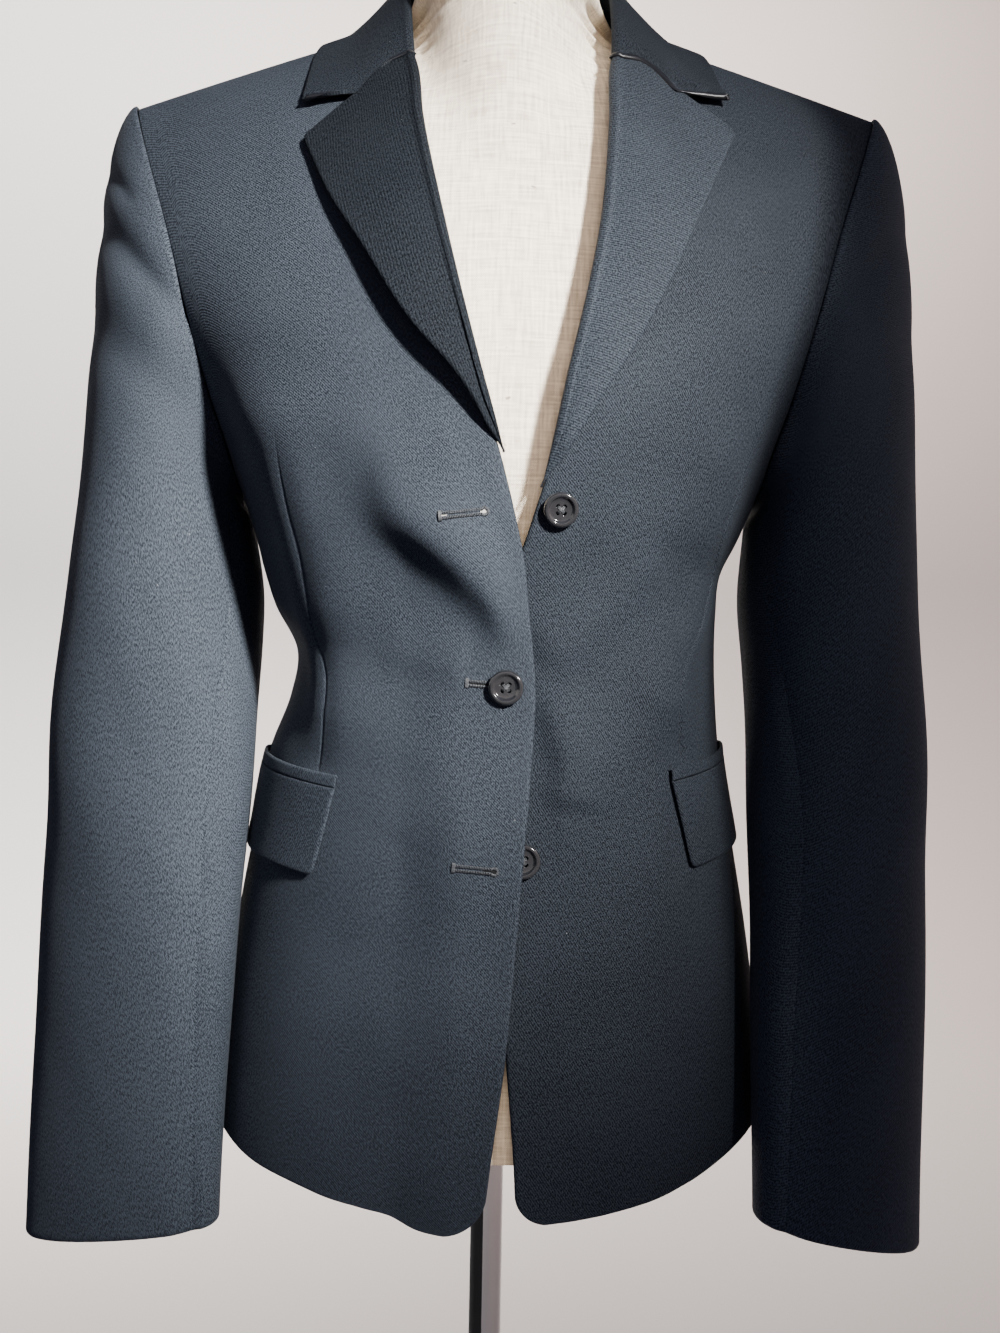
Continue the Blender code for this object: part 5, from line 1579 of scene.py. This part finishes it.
def turned_mesh(name, profile, steps):
    """A closed mesh turned about Z from radius and height."""
    shape = bmesh.new()
    rings = [[shape.verts.new(p) for p in row] for row in turned_rows(profile, steps)]
    closed_tube(shape, rings)
    return mesh_of(shape, name, 35)


def rounded(radius, top, bottom, edge):
    """A cylinder's profile with rounded rims."""
    turns = np.linspace(0, math.pi / 2, 6)
    rim = radius - edge
    upper = [(rim + edge * math.sin(t), top - edge + edge * math.cos(t)) for t in turns]
    lower = [(rim + edge * math.cos(t), bottom + edge - edge * math.sin(t)) for t in turns]
    return upper + lower


form_piece()
for node, finish, name, steps, profile in (
    ("pole", CHROME, "pole_chrome", POLE_STEPS,
     rounded(POLE_RADIUS, FORM_BOTTOM - SEAM, BASE_HEIGHT + SEAM, POLE_BEVEL)),
    ("base", STEEL, "base_steel", BASE_STEPS, rounded(BASE_RADIUS, BASE_HEIGHT, 0.0, BASE_BEVEL)),
):
    shown(name, turned_mesh(name, profile, steps), finish, node)


# --- Buttons ----------------------------------------------------------------

# The button's section, as parts of its radius and of its thickness
BUTTON_SECTION = [
    (0.04, 0.60), (0.40, 0.60), (0.60, 0.64), (0.66, 0.72), (0.72, 0.90), (0.77, 0.985),
    (0.82, 1.0), (0.88, 0.985), (0.94, 0.90), (0.98, 0.76), (1.0, 0.58), (0.985, 0.42),
    (0.93, 0.22), (0.84, 0.06), (0.74, 0.0), (0.04, 0.0),
]
THREAD_RADIUS = 0.00019
# The threads' distance from one another, how deep their ends lie, and their rise
THREAD_SPREAD = 0.00034
THREAD_SUNK = 0.0007
THREAD_ARCH = 0.00115


def button_frame(name):
    """Where a button lies: its place and turned axes, from the front that carries it."""
    side, x, height = BUTTONS[name]
    out, z = side * x, np.array(height)
    span = BUTTON_TILT_SPAN
    across = (on_front(side, out + span, z) - on_front(side, out - span, z)) * side
    up = on_front(side, out, z + span) - on_front(side, out, z - span)
    normal = Vector(unit(np.cross(across, up)))
    place_ = Vector(on_front(side, out, z)) + normal * BUTTON_REST
    right = Vector(across).normalized()
    right = (right - normal * right.dot(normal)).normalized()
    turn = Matrix((right, normal.cross(right), normal)).transposed().to_4x4()
    return Matrix.Translation(place_) @ turn


def tube(name, paths, radius, sides=8):
    """Round threads along short paths, in one mesh."""
    shape = bmesh.new()
    for path in paths:
        path = [Vector(p) for p in path]
        rings = []
        for i, here in enumerate(path):
            ahead = path[min(i + 1, len(path) - 1)] - path[max(i - 1, 0)]
            ahead.normalize()
            side = ahead.cross(Vector((0, 0, 1)))
            side = side.normalized() if side.length > 1e-6 else Vector((1, 0, 0))
            over = side.cross(ahead)
            rings.append([
                shape.verts.new(here + side * radius * math.cos(a) + over * radius * math.sin(a))
                for a in np.linspace(0, 2 * math.pi, sides, endpoint=False)
            ])
        closed_tube(shape, rings)
    return mesh_of(shape, name)


def button_piece(name):
    """A button with four holes, set on its front, and its threads."""
    profile = [(BUTTON_RADIUS * r, BUTTON_THICKNESS * t) for r, t in BUTTON_SECTION]
    data = turned_mesh(name + "_resin", profile, BUTTON_STEPS)
    thing = shown(name + "_resin", data, BUTTON, name)
    cutters = []
    half = BUTTON_HOLE_SPACING / 2
    for sx, sy in ((1, 1), (-1, 1), (-1, -1), (1, -1)):
        hole = bmesh.new()
        bmesh.ops.create_cone(hole, cap_ends=True, segments=20, radius1=BUTTON_HOLE_RADIUS,
                              radius2=BUTTON_HOLE_RADIUS, depth=BUTTON_THICKNESS * 3)
        bmesh.ops.translate(hole, verts=hole.verts, vec=(sx * half, sy * half, 0))
        data = bpy.data.meshes.new("hole")
        hole.to_mesh(data)
        hole.free()
        cutter = new_object("hole", data)
        cut = thing.modifiers.new("hole", "BOOLEAN")
        cut.operation = "DIFFERENCE"
        cut.object = cutter
        cutters.append(cutter)
    bpy.context.view_layer.update()
    shape = thing.evaluated_get(bpy.context.evaluated_depsgraph_get())
    cut_mesh = bpy.data.meshes.new_from_object(shape)
    thing.modifiers.clear()
    thing.data = cut_mesh
    for cutter in cutters:
        bpy.data.objects.remove(cutter)
    thing.matrix_world = button_frame(name)
    thread_piece(name)


def thread_piece(name):
    """The threads that cross between a button's holes."""
    half, low = BUTTON_HOLE_SPACING / 2, BUTTON_THICKNESS * 0.60
    paths = []
    for start, end in (((-1, -1), (1, 1)), ((-1, 1), (1, -1))):
        for shift in (-THREAD_SPREAD, 0.0, THREAD_SPREAD):
            path = []
            for t in np.linspace(0, 1, 13):
                x = (start[0] + (end[0] - start[0]) * t) * half + shift * start[1]
                y = (start[1] + (end[1] - start[1]) * t) * half - shift * start[0]
                z = low - THREAD_SUNK + THREAD_ARCH * math.sin(math.pi * t) ** 0.5
                path.append((x, y, z))
            paths.append(path)
    data = tube(name + "_thread", paths, THREAD_RADIUS)
    shown(name + "_thread", data, THREAD, None).matrix_world = button_frame(name)


for name in BUTTONS:
    button_piece(name)


# --- Buttonholes ------------------------------------------------------------

# Each hole's outer end and the end nearest the front's edge, as x and height
BUTTONHOLES = {
    "buttonhole_top": ((-0.0278, 1.1130), (-0.0045, 1.1154)),
    "buttonhole_middle": ((-0.0139, 1.0281), (0.0095, 1.0265)),
    "buttonhole_lower": ((-0.0186, 0.9358), (0.0033, 0.9341)),
}
STITCH_STEP = 0.00080
STITCH_REACH = (0.00035, 0.00190)
STITCH_RADIUS = 0.00023
EYE_RADIUS = 0.0014
# The eye's stitches and its slit, as parts of its radius
EYE_STITCHES = (0.75, 1.75)
EYE_SLIT = 0.85
# The rise of a stitch over its four places, from the slit outwards
STITCH_HUMPS = [0.00004 + 0.00042 * math.sin(math.pi * (k + 0.6) / 4.2) for k in range(4)]
TACK_HALF = 0.0025
SLIT_RAISED = 0.00018


def buttonhole_piece(name):
    """Keyhole buttonhole: purl stitches round a slit of painted shade, an eye, and a bar tack."""
    start, end = (np.array(point) for point in BUTTONHOLES[name])
    length = np.linalg.norm(end - start)
    ahead = (end - start) / length
    over = np.array([-ahead[1], ahead[0]])

    def on_cloth(along, across, raised):
        x, z = start + ahead * along + over * across
        shift = float(smooth(RINGS, "shift", z))
        return tuple(on_front(RIGHT, np.array(shift - x), np.array(z), raised))

    straight = length - EYE_RADIUS * 2.2
    centre = straight + EYE_RADIUS * 0.8
    # Stitches of both sides of the slit, then those round the eye, then the bar tack
    paths = []
    reach = np.linspace(*STITCH_REACH, 4)
    for along in np.arange(STITCH_STEP, straight, STITCH_STEP):
        for way in (1, -1):
            paths.append([on_cloth(along + 0.00012 * k, way * reach[k], STITCH_HUMPS[k])
                          for k in range(4)])
    reach = EYE_RADIUS * np.linspace(*EYE_STITCHES, 4)
    for turn in np.linspace(-2.35, 2.35, 17):
        dx, dy = math.cos(turn), math.sin(turn)
        paths.append([on_cloth(centre + dx * reach[k], dy * reach[k], STITCH_HUMPS[k])
                      for k in range(4)])
    for shift in np.linspace(-0.0006, 0.0006, 4):
        paths.append([
            on_cloth(shift, across, 0.0003 + 0.0003 * math.cos(across / TACK_HALF * math.pi / 2))
            for across in np.linspace(-TACK_HALF, TACK_HALF, 7)
        ])
    data = tube(name + "_stitches", paths, STITCH_RADIUS, 6)
    shown(name + "_stitches", data, THREAD, None)
    # The slit's half width along it, and round the eye
    widths = [(0.0, 0.0003), (straight, 0.00042)]
    eye = EYE_RADIUS * EYE_SLIT
    for t in np.linspace(-1.0, 1.5, 9):
        widths.append((centre + eye * math.sin(t), max(eye * math.cos(t), 0.0001)))
    rows = np.array([
        [on_cloth(along, way * half, SLIT_RAISED) for along, half in widths]
        for way in (-1, -0.33, 0.33, 1)
    ])
    # The slit is a sheet on the cloth: near black as painted shade, pale on the top hole for the
    # linen with a painted highlight
    slit = grid_piece(name + "_slit", rows, flip=False)
    slit.data.materials.append(OPEN_SLIT_HIGHLIGHT if name == "buttonhole_top" else SLIT_SHADE)
    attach(slit, "root")


for name in BUTTONHOLES:
    buttonhole_piece(name)


# --- Stage, light and camera ------------------------------------------------

# The room: the flat floor's radius, the radius of its sweep into the wall, the wall
ROOM_RADIUS = 3.4
ROOM_SWEEP = 1.4
ROOM_HEIGHT = 5.2
SCREEN_RADIUS = 2.6
# The wall's tones at its left and at its right: the darker, warmer right is painted shade
WALL_TONES_PAINTED_SHADE = ((0.80, 0.762, 0.718), (0.72, 0.592, 0.535))
KEY_PLACE = (1.45, -1.85, 2.35)
KEY_SOFT = 0.16
WARM = (1.0, 0.97, 0.94)
# The flag's place on the way to the key lamp, and how much light it stops
FLAG_PART = 0.12
FLAG_ALPHA = 0.70
CAMERA_PLACE = (0.0025, -0.735, 1.037)
CAMERA_ROLL = math.radians(1.0)
# The camera's focal length in the photo's pixels, and the photo's rows
FOCAL_PIXELS = 1250
PHOTO_ROWS = 1333
FILM_HEIGHT = 36


def hide_from(thing, *ways):
    """Keep an object out of some kinds of rays."""
    for way in ways:
        setattr(thing, "visible_" + way, False)


def stage_piece():
    """A round studio room: a floor that sweeps up into a wall, open at the top."""
    rows = [(radius, 0.0) for radius in (0.001, 0.5, 1.5, 2.6, ROOM_RADIUS)]
    for turn in np.linspace(0, math.pi / 2, 17)[1:]:
        rows.append((ROOM_RADIUS + ROOM_SWEEP * math.sin(turn),
                     ROOM_SWEEP - ROOM_SWEEP * math.cos(turn)))
    rows.append((ROOM_RADIUS + ROOM_SWEEP, ROOM_HEIGHT))
    points = turned_rows(rows, 96)
    thing = grid_piece("studio", points, closed=True)
    n = Nodes("studio_wall")
    # Painted shade: the wall grows darker and warmer towards +x
    across = n.math("ADD", n.times(n.split(n.object_places())[0], 0.25), 0.5, clamp=True)
    n.set(Base_Color=n.mix(across, *WALL_TONES_PAINTED_SHADE), Roughness=0.95)
    thing.data.materials.append(n.material)
    # The room throws no light back on the cloth.
    hide_from(thing, "diffuse")


def add_lamp(name, kind, place_, aim, power, colour, **values):
    """A lamp at a place, turned to its aim, which the camera doesn't see."""
    data = bpy.data.lights.new(name, kind)
    data.energy = power
    data.color = colour
    for key, value in values.items():
        setattr(data, key, value)
    lamp = new_object(name, data)
    lamp.location = place_
    lamp.rotation_euler = (Vector(aim) - Vector(place_)).to_track_quat("-Z", "Y").to_euler()
    hide_from(lamp, "camera")
    return lamp


def add_key(name, aim, power, degrees):
    """A soft spot at the key lamp's place."""
    return add_lamp(name, "SPOT", KEY_PLACE, aim, power, WARM, spot_size=math.radians(degrees),
                    spot_blend=1.0, shadow_soft_size=KEY_SOFT)


def add_panel(name, place_, aim, power, colour, size, spread=180):
    """A rectangular lamp, with its width, height and spread in degrees."""
    return add_lamp(name, "AREA", place_, aim, power, colour, shape="RECTANGLE", size=size[0],
                    size_y=size[1], spread=math.radians(spread))


DARK_CLOTH = plain_material("dark_cloth", (0.010, 0.010, 0.011), (0.020, 0.020, 0.021), 0.9, 4)


def screen_pieces():
    """A dark screen beside the set, seen in reflections alone."""
    angle = np.radians(np.linspace(126, 250, 31))
    # A sheet of the same cloth lies on the floor in front of the screen.
    for name, radius, height in (
        ("screen", SCREEN_RADIUS, np.linspace(0.0, 1.5, 4)[:, None]),
        ("screen_floor", np.linspace(0.35, SCREEN_RADIUS, 4)[:, None], 0.004),
    ):
        rows = np.broadcast_arrays(radius * np.cos(angle), radius * np.sin(angle), height)
        screen = grid_piece(name, np.stack(rows, axis=-1))
        screen.data.materials.append(DARK_CLOTH)
        hide_from(screen, "camera", "diffuse", "shadow")


stage_piece()
screen_pieces()
add_key("key", (-0.065, -0.10, 1.20), 470, 13.5)
add_key("key_sleeve", (-0.315, -0.03, 1.02), 760, 19)
# One lamp for each side of the wall, and one for the floor behind
for name, turn, power in (
    ("back", 100, 260), ("right", 0, 120), ("front", 270, 90), ("left", 190, 110),
):
    ahead = Vector((math.cos(math.radians(turn)), math.sin(math.radians(turn)), 0))
    add_panel("wall_" + name, ahead * 2.4 + Vector((0, 0, 4.6)),
              ahead * 5.0 + Vector((0, 0, 1.5)), power, WARM, (3.6, 0.8), 140)
add_panel("floor", (-1.1, 2.7, 4.4), (-1.1, 2.9, 0), 70, WARM, (2.0, 1.2), 75)
# The linen takes more of the room's warm light than the dark wool does.
lit = bpy.data.collections.new("lit_by_linen_lamps")
lit.objects.link(bpy.data.objects["form_linen"])
for lamp in (
    add_panel("linen_fill", (0.1, -2.2, 1.5), (0, 0, 1.2), 34, (1.0, 0.80, 0.62), (1.0, 1.0)),
    add_key("linen_key", (0.0, -0.05, 1.20), 700, 22),
):
    lamp.light_linking.receiver_collection = lit


def key_flag():
    """A flag that keeps the key lamps off the left sleeve."""
    # Its outline as x and height, on the plane of the sleeve's front
    inner = np.array([
        (0.60, 1.70), (0.226, 1.70), (0.222, 1.36), (0.196, 1.28), (0.174, 1.22), (0.154, 1.16),
        (0.146, 1.05), (0.146, 0.90), (0.143, 0.60), (0.60, 0.60),
    ])
    key = np.array(KEY_PLACE)
    edge = np.stack([inner[:, 0], np.full(len(inner), -0.06), inner[:, 1]], axis=-1)
    edge = edge + (key - edge) * FLAG_PART
    far = edge + (key - edge) * 0.004
    flag = grid_piece("flag", np.stack([edge, far]), closed=True)
    mesh = bmesh.new()
    mesh.from_mesh(flag.data)
    bmesh.ops.holes_fill(mesh, edges=mesh.edges, sides=0)
    mesh.to_mesh(flag.data)
    mesh.free()
    flag.data.materials.append(DARK_CLOTH.copy())
    shader = flag.data.materials[0].node_tree.nodes["Principled BSDF"]
    shader.inputs["Alpha"].default_value = FLAG_ALPHA
    hide_from(flag, "camera", "diffuse", "glossy")


key_flag()

world = bpy.data.worlds.new("studio")
bpy.context.scene.world = world
world.use_nodes = True
sky = world.node_tree.nodes["Background"].inputs
sky["Color"].default_value = (0.76, 0.78, 1.30, 1)
sky["Strength"].default_value = 0.10

lens = bpy.data.cameras.new("camera")
lens.sensor_fit = "VERTICAL"
lens.sensor_height = lens.sensor_width = FILM_HEIGHT
lens.lens = FOCAL_PIXELS * FILM_HEIGHT / PHOTO_ROWS
lens.clip_start = 0.05
camera = new_object("camera", lens)
camera.matrix_world = (
    Matrix.Translation(CAMERA_PLACE)
    @ Matrix.Rotation(math.radians(90), 4, "X")
    @ Matrix.Rotation(CAMERA_ROLL, 4, "Z")
)
bpy.context.scene.camera = camera
